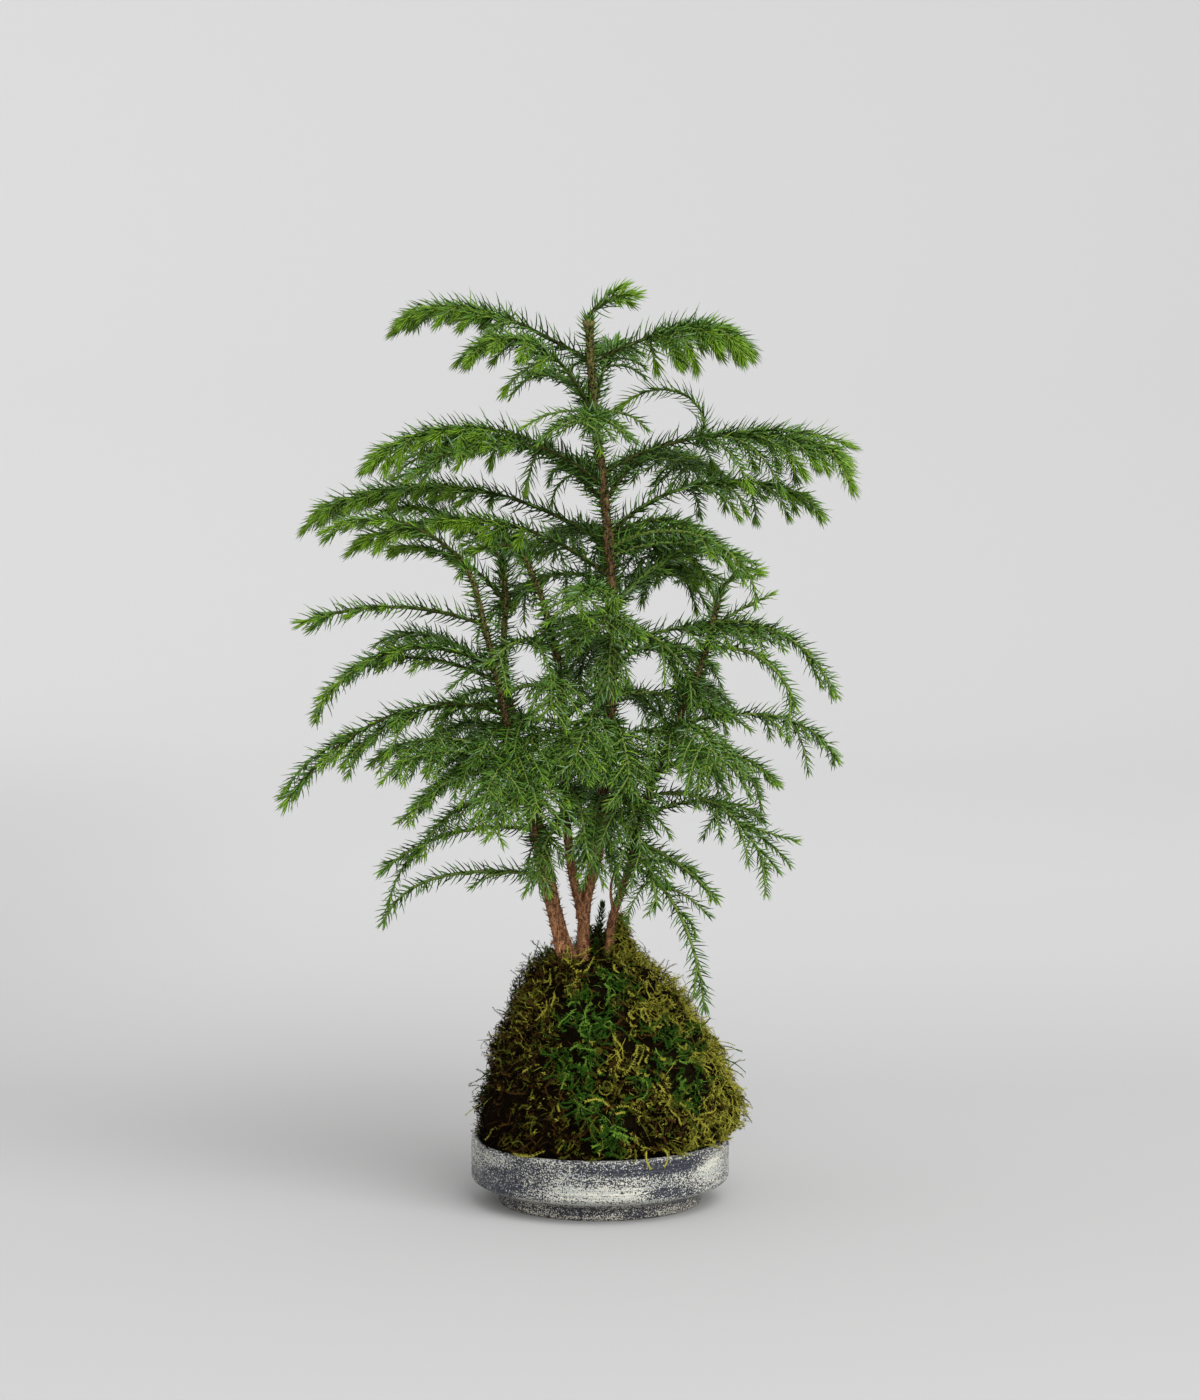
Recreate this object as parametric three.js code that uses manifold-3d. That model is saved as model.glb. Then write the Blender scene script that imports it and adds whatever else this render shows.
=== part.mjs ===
// A young Norfolk Island pine: five slender stems that rise from a moss-covered root ball, which
// stands in a shallow glazed dish. Millimetres, +Z up, origin at the centre of the dish's flat
// underside, the plant seen from -Y with +X to its right.
//
// The stems and the inner lengths of the longest branches are tapering limbs. Each branch then ends
// in one mass of foliage: a main twig and the sprigs that leave it by a seeded rule, with needles
// standing out of them.

import * as THREE from 'three';
import { mergeVertices } from 'three/addons/utils/BufferGeometryUtils.js';
import Module from 'manifold-3d';

const wasm = await Module();
wasm.setup();

// ---------------------------------------------------------------- driving sizes

const GAP = 0.3;

const DISH = {
  radius: 70,
  height: 35.6,
  wall: 4.6,
  floorTop: 8,
  footRadius: 55.5,
  footHeight: 9,
  shoulder: 15,
  sides: 36,
};

const BALL = {
  bottom: DISH.floorTop + GAP,
  top: 134,
  topRadius: 25,
  sides: 26,
  lumps: 1.5,
};

// Radius of the root ball at heights between its flat bottom and its flat top.
const BALL_PROFILE = [
  [58, BALL.bottom],
  [63.2, 16],
  [64.2, 34],
  [67.6, 42],
  [68.6, 54],
  [64.5, 67],
  [59.5, 82],
  [52.5, 95],
  [45.5, 109],
  [36.5, 122],
  [BALL.topRadius, BALL.top],
];

const FOOT = BALL.top + GAP;

// Each stem: the points that its centre line runs through and its radius at the foot and the tip.
const STEMS = {
  trunk: {
    foot: 3.9,
    tip: 1.7,
    path: [
      [-9, 0, FOOT], [-8, 0, 162], [-1, 0, 193], [4, 0, 249], [7, 0, 301],
      [6, 0, 338], [2, 0, 386], [-2, 0, 418], [-5, 0, 456], [-6, 0, 478],
    ],
  },
  second: {
    foot: 2.4,
    tip: 0.9,
    path: [
      [-9.5, -0.5, 158], [-15, -4, 180], [-18, -5, 209], [-20, -6, 253],
      [-22, -8, 290], [-29, -10, 322], [-36, -14, 342], [-42, -16, 354],
    ],
  },
  third: {
    foot: 2.3,
    tip: 0.9,
    path: [
      [-15.5, -7.5, FOOT], [-21.5, -4, 153], [-26, 0, 174], [-32, 6, 203], [-42, 12, 240],
      [-50, 16, 277], [-52, 18, 304], [-51, 20, 326], [-53, 21, 346],
    ],
  },
  left: {
    foot: 2.4,
    tip: 0.9,
    path: [
      [-20.5, -14.5, FOOT], [-25, -14, 156], [-30, -16, 175], [-35, -19, 203], [-43, -23, 236],
      [-50, -26, 265], [-55, -29, 291], [-61, -31, 315], [-66, -33, 336], [-71, -34, 348],
    ],
  },
  right: {
    foot: 2.1,
    tip: 0.8,
    path: [
      [5, 0, FOOT], [6, 0, 151], [11, -2, 168], [16, -4, 184], [24, -8, 218],
      [33, -11, 242], [43, -14, 266], [54, -16, 293], [61, -17, 319], [64, -18, 333],
    ],
  },
};

const STEM = { sides: 6, step: 14, flare: 0.35, flareHeight: 6 };

const BOUGH = { sides: 5, step: 9, foot: 1.5, tip: 1.15 };

// The cores of the twigs, three-sided, and the needles that stand out of them.
const TWIG = { step: 6, foot: 1.3, tip: 0.65, spear: 7 };
const SPRIG = { step: 5.6, foot: 1.0, tip: 0.55, spear: 7, first: 0.32, last: 0.95 };
const NEEDLE = { length: 9, angle: 52, spiral: 137.5 };

const CURVE_STEP = 2;
const CLEAR = { core: 1.2, needle: 0.4 };

// One branch a row: the stem it leaves and how high, its heading in plan and how far that turns, its
// slope at the stem and at the tip with how late it changes, its length, the share of it that is a
// bare bough, its number of sprigs, their longest reach, the slope that they hang to and the seed of
// their chances. Angles are in degrees, with plan headings counted from +X towards +Y.
const BRANCH_FIELDS = [
  'name', 'stem', 'height', 'heading', 'turn', 'rise', 'fall', 'late',
  'length', 'bare', 'pairs', 'reach', 'hang', 'seed',
];
const BRANCH_ROWS = [
  ['trunk_tip', 'trunk', 478, -11, -4, 47, -3, 0.89, 33.2, 0, 1, 19.6, -35, 647],
  ['trunk_a1', 'trunk', 454.6, -7, -3, 23, -53, 3.85, 85.1, 0, 5, 46.7, -62, 341],
  ['trunk_a2', 'trunk', 454.5, 156, 8, 27, -30, 2.72, 114.4, 0.3, 4, 32.7, -53, 432],
  ['trunk_a3', 'trunk', 424.2, 194, 2, 63, -49, 1.99, 91.2, 0, 3, 41.3, -49, 104],
  ['trunk_a4', 'trunk', 421.1, -91, 1, 24, -41, 1.38, 59.4, 0, 1, 40.9, -43, 300],
  ['trunk_a5', 'trunk', 431.3, 73, 13, 47, -11, 1.46, 81.3, 0, 4, 29.7, -46, 743],
  ['trunk_b1', 'trunk', 395, 12, -14, 30, -22, 1.03, 135.4, 0.3, 6, 57.8, -60, 564],
  ['trunk_b2', 'trunk', 361.6, 22, -11, 45, -27, 0.97, 124.7, 0, 4, 45.1, -76, 186],
  ['trunk_b3', 'trunk', 387.4, 197, -9, 41, -38, 1.31, 139.6, 0.3, 6, 29.8, -87, 174],
  ['trunk_b4', 'trunk', 355.9, 164, 6, 32, -27, 1.21, 173.7, 0.3, 5, 32.2, -53, 648],
  ['trunk_b5', 'trunk', 379.7, 59, 8, 39, -33, 1.14, 118.8, 0, 4, 54.4, -49, 111],
  ['trunk_b6', 'trunk', 378.7, 148, -1, 42, -36, 1.39, 129.8, 0, 5, 47.9, -35, 230],
  ['trunk_c1', 'trunk', 354.6, -28, -1, 29, -58, 1.2, 98.8, 0, 4, 31.2, -36, 657],
  ['trunk_c2', 'trunk', 322.1, 28, -8, 46, 4, 1.65, 68.4, 0, 2, 13.9, -35, 903],
  ['trunk_c4', 'trunk', 315, -23, -5, -8, -84, 1.33, 67.4, 0, 2, 29.3, -87, 115],
  ['trunk_c5', 'trunk', 324.2, -108, 0, 30, -36, 1.49, 71.8, 0, 2, 34.9, -49, 548],
  ['trunk_c6', 'trunk', 337, 98, 14, 35, -34, 1.2, 138.9, 0, 4, 48.2, -75, 795],
  ['trunk_d2', 'trunk', 268.9, -112, 6, 20, -55, 0.71, 68.4, 0, 3, 35, -55, 425],
  ['trunk_d3', 'trunk', 290.6, 61, -11, 21, -36, 1.14, 110.2, 0, 3, 20.8, -84, 696],
  ['trunk_e1', 'trunk', 234.4, -64, 1, -2, -88, 0.99, 65.9, 0, 2, 39.6, -60, 243],
  ['second_tip', 'second', 354, 194, 7, 37, -24, 0.5, 30.2, 0, 2, 14.5, 2, 121],
  ['second_a1', 'second', 300.6, -131, -4, 28, -56, 1.35, 57.1, 0, 2, 46.2, -54, 289],
  ['second_a2', 'second', 256.4, -122, -4, 8, -70, 1.49, 64.3, 0, 4, 39.8, -44, 875],
  ['second_a3', 'second', 228.4, -72, -5, 1, -79, 0.94, 62.9, 0, 1, 25.1, -84, 425],
  ['third_tip', 'third', 346, 177, -5, 47, -20, 1.7, 73.2, 0, 2, 22.8, -25, 347],
  ['third_a1', 'third', 327.4, 96, -15, 45, -38, 1.44, 97.6, 0, 3, 34.4, -29, 410],
  ['third_a2', 'third', 282.6, 130, 5, 23, -23, 1.99, 109, 0, 2, 26.9, -71, 267],
  ['third_a3', 'third', 241.5, 117, 6, 22, -57, 1.81, 110, 0, 3, 45.2, -83, 914],
  ['left_tip', 'left', 348, 172, 10, 43, -23, 1.39, 77.1, 0, 2, 11.8, -49, 623],
  ['left_a1', 'left', 316.3, 188, 0, 21, -23, 1.09, 104, 0, 2, 16.1, -24, 130],
  ['left_a2', 'left', 292.3, 182, -8, 33, -70, 1.07, 116.6, 0, 3, 25.5, -47, 130],
  ['left_b1', 'left', 266.8, 193, -2, 36, -58, 0.64, 142.4, 0.3, 4, 26.8, -22, 132],
  ['left_b2', 'left', 245.2, 182, 0, 22, -38, 1.58, 79, 0, 3, 28.8, -72, 346],
  ['left_b3', 'left', 240.4, -104, -4, 17, -59, 1.19, 77.4, 0, 2, 30.1, -83, 134],
  ['left_c1', 'left', 223.4, 194, 6, 16, -69, 0.88, 76.6, 0, 3, 27.1, -69, 866],
  ['left_c2', 'left', 205, 193, -2, 12, -43, 1.04, 93.1, 0, 2, 15.6, -19, 986],
  ['left_c3', 'left', 181.2, 195, 1, 5, -81, 2.69, 102, 0, 1, 15.6, -50, 284],
  ['right_tip', 'right', 333, 28, 4, 39, -45, 2, 32.2, 0, 3, 14.4, -48, 160],
  ['right_a1', 'right', 316.6, -4, 1, 6, -79, 1.12, 86.3, 0, 3, 27.3, -52, 266],
  ['right_a2', 'right', 301.8, -34, 1, 12, -81, 1.21, 73.5, 0, 2, 37.8, -77, 140],
  ['right_b1', 'right', 262.6, 11, 7, 8, -73, 2.16, 103.7, 0.3, 4, 27, -85, 224],
  ['right_b2', 'right', 245.5, -11, -2, 15, -56, 1.28, 70.7, 0, 3, 23.5, -62, 553],
  ['right_b3', 'right', 264.8, 76, 12, 31, -43, 1.15, 105.7, 0, 4, 47, -88, 962],
  ['right_c1', 'right', 220.7, -30, 3, 24, -78, 0.95, 95.1, 0, 3, 45.3, -56, 409],
  ['right_c2', 'right', 196.9, -34, -4, -10, -41, 0.78, 64.7, 0, 2, 18.2, -75, 534],
  ['right_c3', 'right', 212.8, 106, 2, 26, -53, 1.53, 107.7, 0, 3, 36.9, -86, 156],
  ['right_d1', 'right', 182.4, -49, 1, 20, -86, 0.51, 105.4, 0, 2, 23.8, -88, 845],
];

// A sprig that the rule alone doesn't give: it stands up from its branch and arches back inwards.
const ARCHED_SPRIG = {
  branch: 'trunk_b1', share: 0.44, heading: 176, turn: 0, rise: 168, fall: -55, late: 0.5, length: 72,
};

const BRANCHES = BRANCH_ROWS.map((row) =>
  Object.fromEntries(row.map((value, column) => [BRANCH_FIELDS[column], value])));

// ---------------------------------------------------------------- materials

const finish = (color, roughness, metalness = 0) =>
  new THREE.MeshStandardMaterial({ color, roughness, metalness });

const MATERIALS = {
  dish: finish(0x6a7482, 0.4),
  ball: finish(0x4a4a18, 0.95),
  bark: finish(0x6b4a33, 0.85),
  bough: finish(0x4c4a26, 0.8),
  foliage: finish(0x2f6b24, 0.6),
};

// ---------------------------------------------------------------- closed meshes

// Drops the faces that collapse to a line and turns the shell so that its faces point out.
function closed(geometry) {
  geometry.deleteAttribute('normal');
  geometry.deleteAttribute('uv');
  const merged = mergeVertices(geometry, 1e-4);
  const place = merged.getAttribute('position');
  const corner = [0, 1, 2].map(() => new THREE.Vector3());
  const kept = [];
  let volume = 0;
  for (let face = 0; face < merged.index.count; face += 3) {
    const ids = [0, 1, 2].map((k) => merged.index.getX(face + k));
    if (new Set(ids).size < 3) continue;
    ids.forEach((id, k) => corner[k].fromBufferAttribute(place, id));
    volume += corner[0].dot(corner[1].clone().cross(corner[2]));
    kept.push(ids);
  }
  const turned = volume < 0 ? kept.map(([a, b, c]) => [a, c, b]) : kept;
  merged.setIndex(turned.flat());
  return merged;
}

function toManifold(geometry) {
  return new wasm.Manifold(new wasm.Mesh({
    numProp: 3,
    vertProperties: new Float32Array(geometry.getAttribute('position').array),
    triVerts: new Uint32Array(geometry.index.array),
  }));
}

// The largest body of a joined solid, without the loose scraps and sealed hollows beside it.
function largestBody(manifold) {
  const { vertProperties, triVerts, numProp } = manifold.getMesh();
  const place = Array.from({ length: vertProperties.length / numProp }, (_, id) =>
    new THREE.Vector3().fromArray(vertProperties, id * numProp));
  const group = place.map((_, id) => id);
  const root = (id) => {
    let top = id;
    while (group[top] !== top) top = group[top];
    group[id] = top;
    return top;
  };
  for (let face = 0; face < triVerts.length; face += 3) {
    for (const other of [1, 2]) group[root(triVerts[face + other])] = root(triVerts[face]);
  }
  const bodies = new Map();
  for (let face = 0; face < triVerts.length; face += 3) {
    const ids = [triVerts[face], triVerts[face + 1], triVerts[face + 2]];
    const key = root(ids[0]);
    const body = bodies.get(key) ?? { volume: 0, faces: [] };
    const [a, b, c] = ids.map((id) => place[id]);
    body.volume += a.dot(b.clone().cross(c));
    body.faces.push(...ids);
    bodies.set(key, body);
  }
  const best = [...bodies.values()].reduce((one, two) => (two.volume > one.volume ? two : one));
  const geometry = new THREE.BufferGeometry();
  const flat = new Float32Array(place.flatMap((p) => p.toArray()));
  geometry.setAttribute('position', new THREE.BufferAttribute(flat, 3));
  geometry.setIndex(best.faces);
  return geometry;
}

// A closed tube through rings of the same number of points. It ends on a point where one is given,
// and each four-sided face is split along its shorter diagonal.
function loft(rings, apex = null) {
  const count = rings[0].length;
  const points = rings.flat();
  const faces = [];
  for (let ring = 0; ring + 1 < rings.length; ring += 1) {
    for (let side = 0; side < count; side += 1) {
      const next = (side + 1) % count;
      const a = ring * count + side;
      const b = ring * count + next;
      const c = a + count;
      const d = b + count;
      const along = points[a].distanceTo(points[d]) < points[b].distanceTo(points[c]);
      faces.push(...(along ? [a, b, d, a, d, c] : [a, b, c, b, d, c]));
    }
  }
  const last = (rings.length - 1) * count;
  for (let side = 1; side + 1 < count; side += 1) {
    faces.push(0, side + 1, side);
    if (!apex) faces.push(last, last + side, last + side + 1);
  }
  if (apex) {
    for (let side = 0; side < count; side += 1) {
      faces.push(last + side, last + ((side + 1) % count), points.length);
    }
    points.push(apex);
  }
  const geometry = new THREE.BufferGeometry();
  const flat = new Float32Array(points.flatMap((p) => p.toArray()));
  geometry.setAttribute('position', new THREE.BufferAttribute(flat, 3));
  geometry.setIndex(faces);
  return closed(geometry);
}

// ---------------------------------------------------------------- curves

// A number from 0 to 1 that depends only on the seed and the draw.
function chance(seed, draw) {
  let mix = (Math.imul(seed, 374761393) + Math.imul(draw, 668265263) + 1013904223) >>> 0;
  mix = Math.imul(mix ^ (mix >>> 13), 1274126177) >>> 0;
  return ((mix ^ (mix >>> 16)) >>> 0) / 4294967296;
}

const radians = THREE.MathUtils.degToRad;

function direction(heading, slope) {
  const flat = Math.cos(radians(slope));
  return new THREE.Vector3(
    flat * Math.cos(radians(heading)),
    flat * Math.sin(radians(heading)),
    Math.sin(radians(slope)),
  );
}

// The centre line of a branch or sprig, in short equal steps: its slope goes from rise to fall and
// its heading turns as it grows.
function growth({ start, heading, turn, rise, fall, late, length }) {
  const steps = Math.max(3, Math.round(length / CURVE_STEP));
  const points = [start.clone()];
  for (let step = 0; step < steps; step += 1) {
    const along = (step + 0.5) / steps;
    const slope = rise + (fall - rise) * along ** late;
    const move = direction(heading + turn * along, slope).multiplyScalar(length / steps);
    points.push(points[step].clone().add(move));
  }
  return { points, length };
}

// The point and direction at a distance along a centre line; past its end it runs straight on.
function at({ points, length }, distance) {
  const steps = points.length - 1;
  const place = (distance / length) * steps;
  const index = Math.min(steps - 1, Math.max(0, Math.floor(place)));
  const tangent = points[index + 1].clone().sub(points[index]);
  const point = points[index].clone().addScaledVector(tangent, place - index);
  return { point, tangent: tangent.normalize() };
}

// Distances from one to another in steps of about the size asked for.
function stations(from, to, step) {
  const count = Math.max(2, Math.round((to - from) / step));
  return Array.from({ length: count + 1 }, (_, index) => from + ((to - from) * index) / count);
}

// Two directions square to the tangent, with the first kept as level as it can be.
function across(tangent) {
  const level = new THREE.Vector3(-tangent.y, tangent.x, 0);
  if (level.length() < 0.05) level.set(1, 0, 0);
  level.normalize();
  return [level, tangent.clone().cross(level).normalize()];
}

// ---------------------------------------------------------------- stems

const STEM_SAMPLES = 8;

function stemLine({ path }) {
  const curve = new THREE.CatmullRomCurve3(
    path.map((point) => new THREE.Vector3(...point)), false, 'catmullrom', 0.5,
  );
  return curve.getPoints((path.length - 1) * STEM_SAMPLES);
}

const STEM_LINES = Object.fromEntries(
  Object.entries(STEMS).map(([name, stem]) => [name, stemLine(stem)]),
);

// Where a stem's centre line crosses a height, and which way it runs there.
function stemAt(name, height) {
  const line = STEM_LINES[name];
  let index = line.findIndex((point) => point.z >= height);
  index = index < 0 ? line.length - 1 : Math.max(1, index);
  const [low, high] = [line[index - 1], line[index]];
  const share = (height - low.z) / (high.z - low.z);
  const tangent = high.clone().sub(low).normalize();
  return { point: low.clone().lerp(high, share), tangent };
}

function stemRadius(name, height) {
  const { foot, tip, path } = STEMS[name];
  const base = path[0][2];
  const share = (height - base) / (path.at(-1)[2] - base);
  const flare = 1 + STEM.flare * Math.exp(-(height - base) / STEM.flareHeight);
  return (foot + (tip - foot) * share) * flare;
}

// A stem has level rings, so that its foot is a flat cut.
function stemLoft(name, grow = 0) {
  const path = STEMS[name].path;
  const rings = stations(path[0][2], path.at(-1)[2], STEM.step).map((height) => {
    const { point } = stemAt(name, height);
    const radius = stemRadius(name, height) + grow;
    return Array.from({ length: STEM.sides }, (_, side) => {
      const angle = (2 * Math.PI * side) / STEM.sides;
      return new THREE.Vector3(
        point.x + radius * Math.cos(angle), point.y + radius * Math.sin(angle), height,
      );
    });
  });
  return loft(rings);
}

// The second stem forks from the trunk, so it is cut clear of it.
function stemSolid(name) {
  if (name !== 'second') return stemLoft(name);
  const cutter = toManifold(stemLoft('trunk', GAP));
  return largestBody(toManifold(stemLoft(name)).subtract(cutter));
}

// ---------------------------------------------------------------- room between the solids

// The shortest distance between two straight stretches.
function stretchGap(one, two) {
  const along = one.to.clone().sub(one.from);
  const other = two.to.clone().sub(two.from);
  const offset = one.from.clone().sub(two.from);
  const a = along.lengthSq() || 1e-12;
  const e = other.lengthSq() || 1e-12;
  const b = along.dot(other);
  const c = along.dot(offset);
  const f = other.dot(offset);
  const spread = a * e - b * b;
  const limit = (value) => Math.min(1, Math.max(0, value));
  let s = spread > 1e-9 ? limit((b * f - c * e) / spread) : 0;
  const t = limit((b * s + f) / e);
  s = limit((b * t - c) / a);
  return offset.addScaledVector(along, s).addScaledVector(other, -t).length();
}

// Everything placed so far, as straight stretches with a thickness, sorted into cubes of space.
const CELL = 16;
const placed = new Map();

function cellsOf({ from, to, radius }) {
  const keys = [];
  const low = from.clone().min(to).subScalar(radius).divideScalar(CELL).floor();
  const high = from.clone().max(to).addScalar(radius).divideScalar(CELL).floor();
  for (let x = low.x; x <= high.x; x += 1) {
    for (let y = low.y; y <= high.y; y += 1) {
      for (let z = low.z; z <= high.z; z += 1) keys.push(`${x},${y},${z}`);
    }
  }
  return keys;
}

function place(stretch) {
  for (const key of cellsOf(stretch)) {
    if (!placed.has(key)) placed.set(key, []);
    placed.get(key).push(stretch);
  }
}

// Whether a stretch keeps its distance from every solid but its own.
function isFree(stretch, margin) {
  const wide = { ...stretch, radius: stretch.radius + margin };
  return cellsOf(wide).every((key) => (placed.get(key) ?? []).every((other) =>
    other.owner === stretch.owner
    || stretchGap(stretch, other) > stretch.radius + other.radius + margin));
}

// How far the root ball's middle is set off the axis at a height.
function ballShift(height) {
  return 6.5 * Math.sin((Math.PI * (height - BALL.bottom)) / 105) - 1;
}

function ballRadius(height) {
  const index = BALL_PROFILE.findIndex(([, z]) => z >= height);
  if (index < 0) return 0;
  if (index === 0) return BALL_PROFILE[0][0];
  const [[r0, z0], [r1, z1]] = [BALL_PROFILE[index - 1], BALL_PROFILE[index]];
  return r0 + ((r1 - r0) * (height - z0)) / (z1 - z0);
}

// Whether a point is clear of the root ball and the dish.
function isAboveBall(point) {
  const reach = Math.hypot(point.x - ballShift(point.z), point.y);
  return reach > ballRadius(point.z) + BALL.lumps + 2;
}

// ---------------------------------------------------------------- branches

const stemTop = (name) => STEMS[name].path.at(-1)[2];

const growsFromTop = (branch) => branch.height >= stemTop(branch.stem);

// How far along its centre line a branch comes clear of its stem.
function clearStart(branch, line, radius) {
  if (growsFromTop(branch)) return 0;
  const stem = stemAt(branch.stem, branch.height);
  const lean = Math.abs(at(line, CURVE_STEP).tangent.dot(stem.tangent));
  const stemReach = stemRadius(branch.stem, branch.height) + GAP;
  return (stemReach + radius * lean) / Math.sqrt(1 - lean * lean);
}

// A branch starts on the middle of its stem, or stands just clear of the stem's flat top.
function branchLine(branch) {
  const start = stemAt(branch.stem, branch.height).point;
  if (growsFromTop(branch)) start.z += GAP + TWIG.foot * Math.cos(radians(branch.rise));
  return growth({ ...branch, start });
}

// The centre lines of a branch's sprigs: one at each station, on alternate sides.
function sprigLines(branch, line) {
  const first = Math.max(SPRIG.first, branch.bare + 0.06);
  const arched = branch.name === ARCHED_SPRIG.branch
    ? [growth({ ...ARCHED_SPRIG, start: at(line, ARCHED_SPRIG.share * branch.length).point })]
    : [];
  return arched.concat(Array.from({ length: branch.pairs }, (_, pair) => {
    const side = pair % 2 === 0 ? 1 : -1;
    const draw = (index) => chance(branch.seed, pair * 16 + (side + 1) * 4 + index);
    const share = first + ((SPRIG.last - first) * (pair + 0.25 + 0.5 * draw(0))) / branch.pairs;
    const slope = branch.rise + (branch.fall - branch.rise) * share ** branch.late;
    return growth({
      start: at(line, share * branch.length).point,
      heading: branch.heading + branch.turn * share + side * (44 + 22 * draw(2)),
      turn: 0,
      rise: slope * 0.6 - 4 + 8 * draw(3),
      fall: branch.hang + 24 * (draw(0) - 0.5),
      late: 1,
      length: branch.reach * (1.15 - 0.55 * share) * (0.75 + 0.5 * draw(1)),
    });
  }));
}

const boughLength = (branch) => branch.bare * branch.length;

function boughSolid(branch) {
  const line = branchLine(branch);
  const start = clearStart(branch, line, BOUGH.foot);
  const end = boughLength(branch);
  const rings = stations(start, end, BOUGH.step).map((distance) => {
    const { point, tangent } = at(line, distance);
    const [level, up] = across(tangent);
    const share = (distance - start) / (end - start);
    const radius = BOUGH.foot + (BOUGH.tip - BOUGH.foot) * share;
    return Array.from({ length: BOUGH.sides }, (_, side) => {
      const angle = (2 * Math.PI * side) / BOUGH.sides;
      return point.clone()
        .addScaledVector(level, radius * Math.cos(angle))
        .addScaledVector(up, radius * Math.sin(angle));
    });
  });
  return loft(rings);
}

// ---------------------------------------------------------------- foliage

// The rings of a twig before its needles: a place, a direction, a core radius and an angle each. The
// core ends in a spear of young needles.
function twigRings(line, from, { step, foot, tip, spear }) {
  const spots = stations(from, line.length - spear, step);
  const rings = spots.map((distance, index) => ({
    ...at(line, distance),
    radius: foot + ((tip - foot) * index) / (spots.length - 1),
    angle: radians(NEEDLE.spiral - 120) * index,
  }));
  return { rings, apex: at(line, line.length).point };
}

function ringPoint({ point, tangent, angle }, side, radius) {
  const [level, up] = across(tangent);
  const turn = angle + (2 * Math.PI * side) / 3;
  return point.clone()
    .addScaledVector(level, radius * Math.cos(turn))
    .addScaledVector(up, radius * Math.sin(turn));
}

function coreStretches(owner, { rings, apex }) {
  const points = [...rings.map((ring) => ring.point), apex];
  return points.slice(1).map((to, index) => ({
    owner, from: points[index], to, radius: rings[Math.min(index, rings.length - 1)].radius,
  }));
}

// A needle leans forward out of its ring, on the side that the spiral has reached.
function needleTip(ring, side) {
  const lean = radians(NEEDLE.angle);
  return ringPoint(ring, side, ring.radius + NEEDLE.length * Math.sin(lean))
    .addScaledVector(ring.tangent, NEEDLE.length * Math.cos(lean));
}

// A twig's closed solid. Needles that would come too near another solid are left out.
function twigSolid(owner, twig) {
  const { rings, apex } = twig;
  const hoops = rings.map((ring, index) => {
    const hoop = [0, 1, 2].map((side) => ringPoint(ring, side, ring.radius));
    if (index === 0) return hoop;
    const side = index % 3;
    const tip = needleTip(ring, side);
    const beside = [rings[index - 1].point, ring.point, (rings[index + 1] ?? ring).point];
    const stretches = beside.map((from) => ({ owner, from, to: tip, radius: CLEAR.needle }));
    const free = isAboveBall(tip) && stretches.every((stretch) => isFree(stretch, CLEAR.core));
    if (free) {
      hoop[side] = tip;
      stretches.forEach(place);
    }
    return hoop;
  });
  return loft(hoops, apex);
}

// Claims the room for a mass's twigs: the main one always, a sprig only where it has room.
function claimTwigs(branch) {
  const owner = `foliage_${branch.name}`;
  const line = branchLine(branch);
  const start = branch.bare > 0
    ? boughLength(branch) + GAP
    : clearStart(branch, line, TWIG.foot);
  const main = twigRings(line, start, TWIG);
  coreStretches(owner, main).forEach(place);
  return { owner, line, twigs: [main] };
}

function claimSprigs(branch, mass) {
  for (const line of sprigLines(branch, mass.line)) {
    const sprig = twigRings(line, 0, SPRIG);
    const stretches = coreStretches(mass.owner, sprig);
    const free = stretches.every((stretch) =>
      isFree(stretch, CLEAR.core) && isAboveBall(stretch.to));
    if (!free) continue;
    stretches.forEach(place);
    mass.twigs.push(sprig);
  }
}

function foliageSolid(mass) {
  const solids = mass.twigs.map((twig) => toManifold(twigSolid(mass.owner, twig)));
  return largestBody(solids.reduce((joined, twig) => joined.add(twig)));
}

// ---------------------------------------------------------------- root ball and dish

// The root ball is turned from its profile, set off the axis and given low lumps, with its flat
// bottom and top left level.
function rootBall() {
  const profile = [[0, BALL.bottom], ...BALL_PROFILE, [0, BALL.top]];
  const lathe = new THREE.LatheGeometry(
    profile.map(([radius, z]) => new THREE.Vector2(radius, z)), BALL.sides,
  );
  lathe.rotateX(Math.PI / 2);
  const geometry = closed(lathe);
  const spot = geometry.getAttribute('position');
  for (let id = 0; id < spot.count; id += 1) {
    const [x, y, z] = [spot.getX(id), spot.getY(id), spot.getZ(id)];
    const radius = Math.hypot(x, y);
    const angle = Math.atan2(y, x);
    const wave = Math.sin(3 * angle + z / 17) + Math.sin(5 * angle - z / 11);
    const free = z > DISH.height + 2 && radius > BALL.topRadius + 1;
    const swell = free ? 1 + (BALL.lumps * wave) / 2 / radius : 1;
    const shift = radius > 0 && z > DISH.height + 2 ? ballShift(z) : 0;
    spot.setXYZ(id, x * swell + shift, y * swell, z);
  }
  return geometry;
}

// The dish is turned from one closed profile: flat-based foot, chamfered shoulder, upright wall with a
// rounded rim, and a flat floor inside.
function dish() {
  const { radius, height, wall, floorTop, footRadius, footHeight } = DISH;
  const rim = wall / 2;
  const rounded = [0, 1, 2, 3].map((step) => {
    const angle = (Math.PI * step) / 3;
    return [radius - rim + rim * Math.cos(angle), height - rim + rim * Math.sin(angle)];
  });
  const profile = [
    [0, 0],
    [footRadius - 1, 0],
    [footRadius, 1],
    [footRadius, footHeight - 1.5],
    [footRadius - 1, footHeight],
    [footRadius + 4.5, footHeight + 0.8],
    [radius - 3, footHeight + 3],
    [radius, DISH.shoulder],
    ...rounded,
    [radius - wall, floorTop + 4],
    [radius - wall - 5, floorTop],
    [0, floorTop],
  ];
  const lathe = new THREE.LatheGeometry(
    profile.map(([r, z]) => new THREE.Vector2(r, z)), DISH.sides,
  );
  lathe.rotateX(Math.PI / 2);
  return closed(lathe);
}

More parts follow.
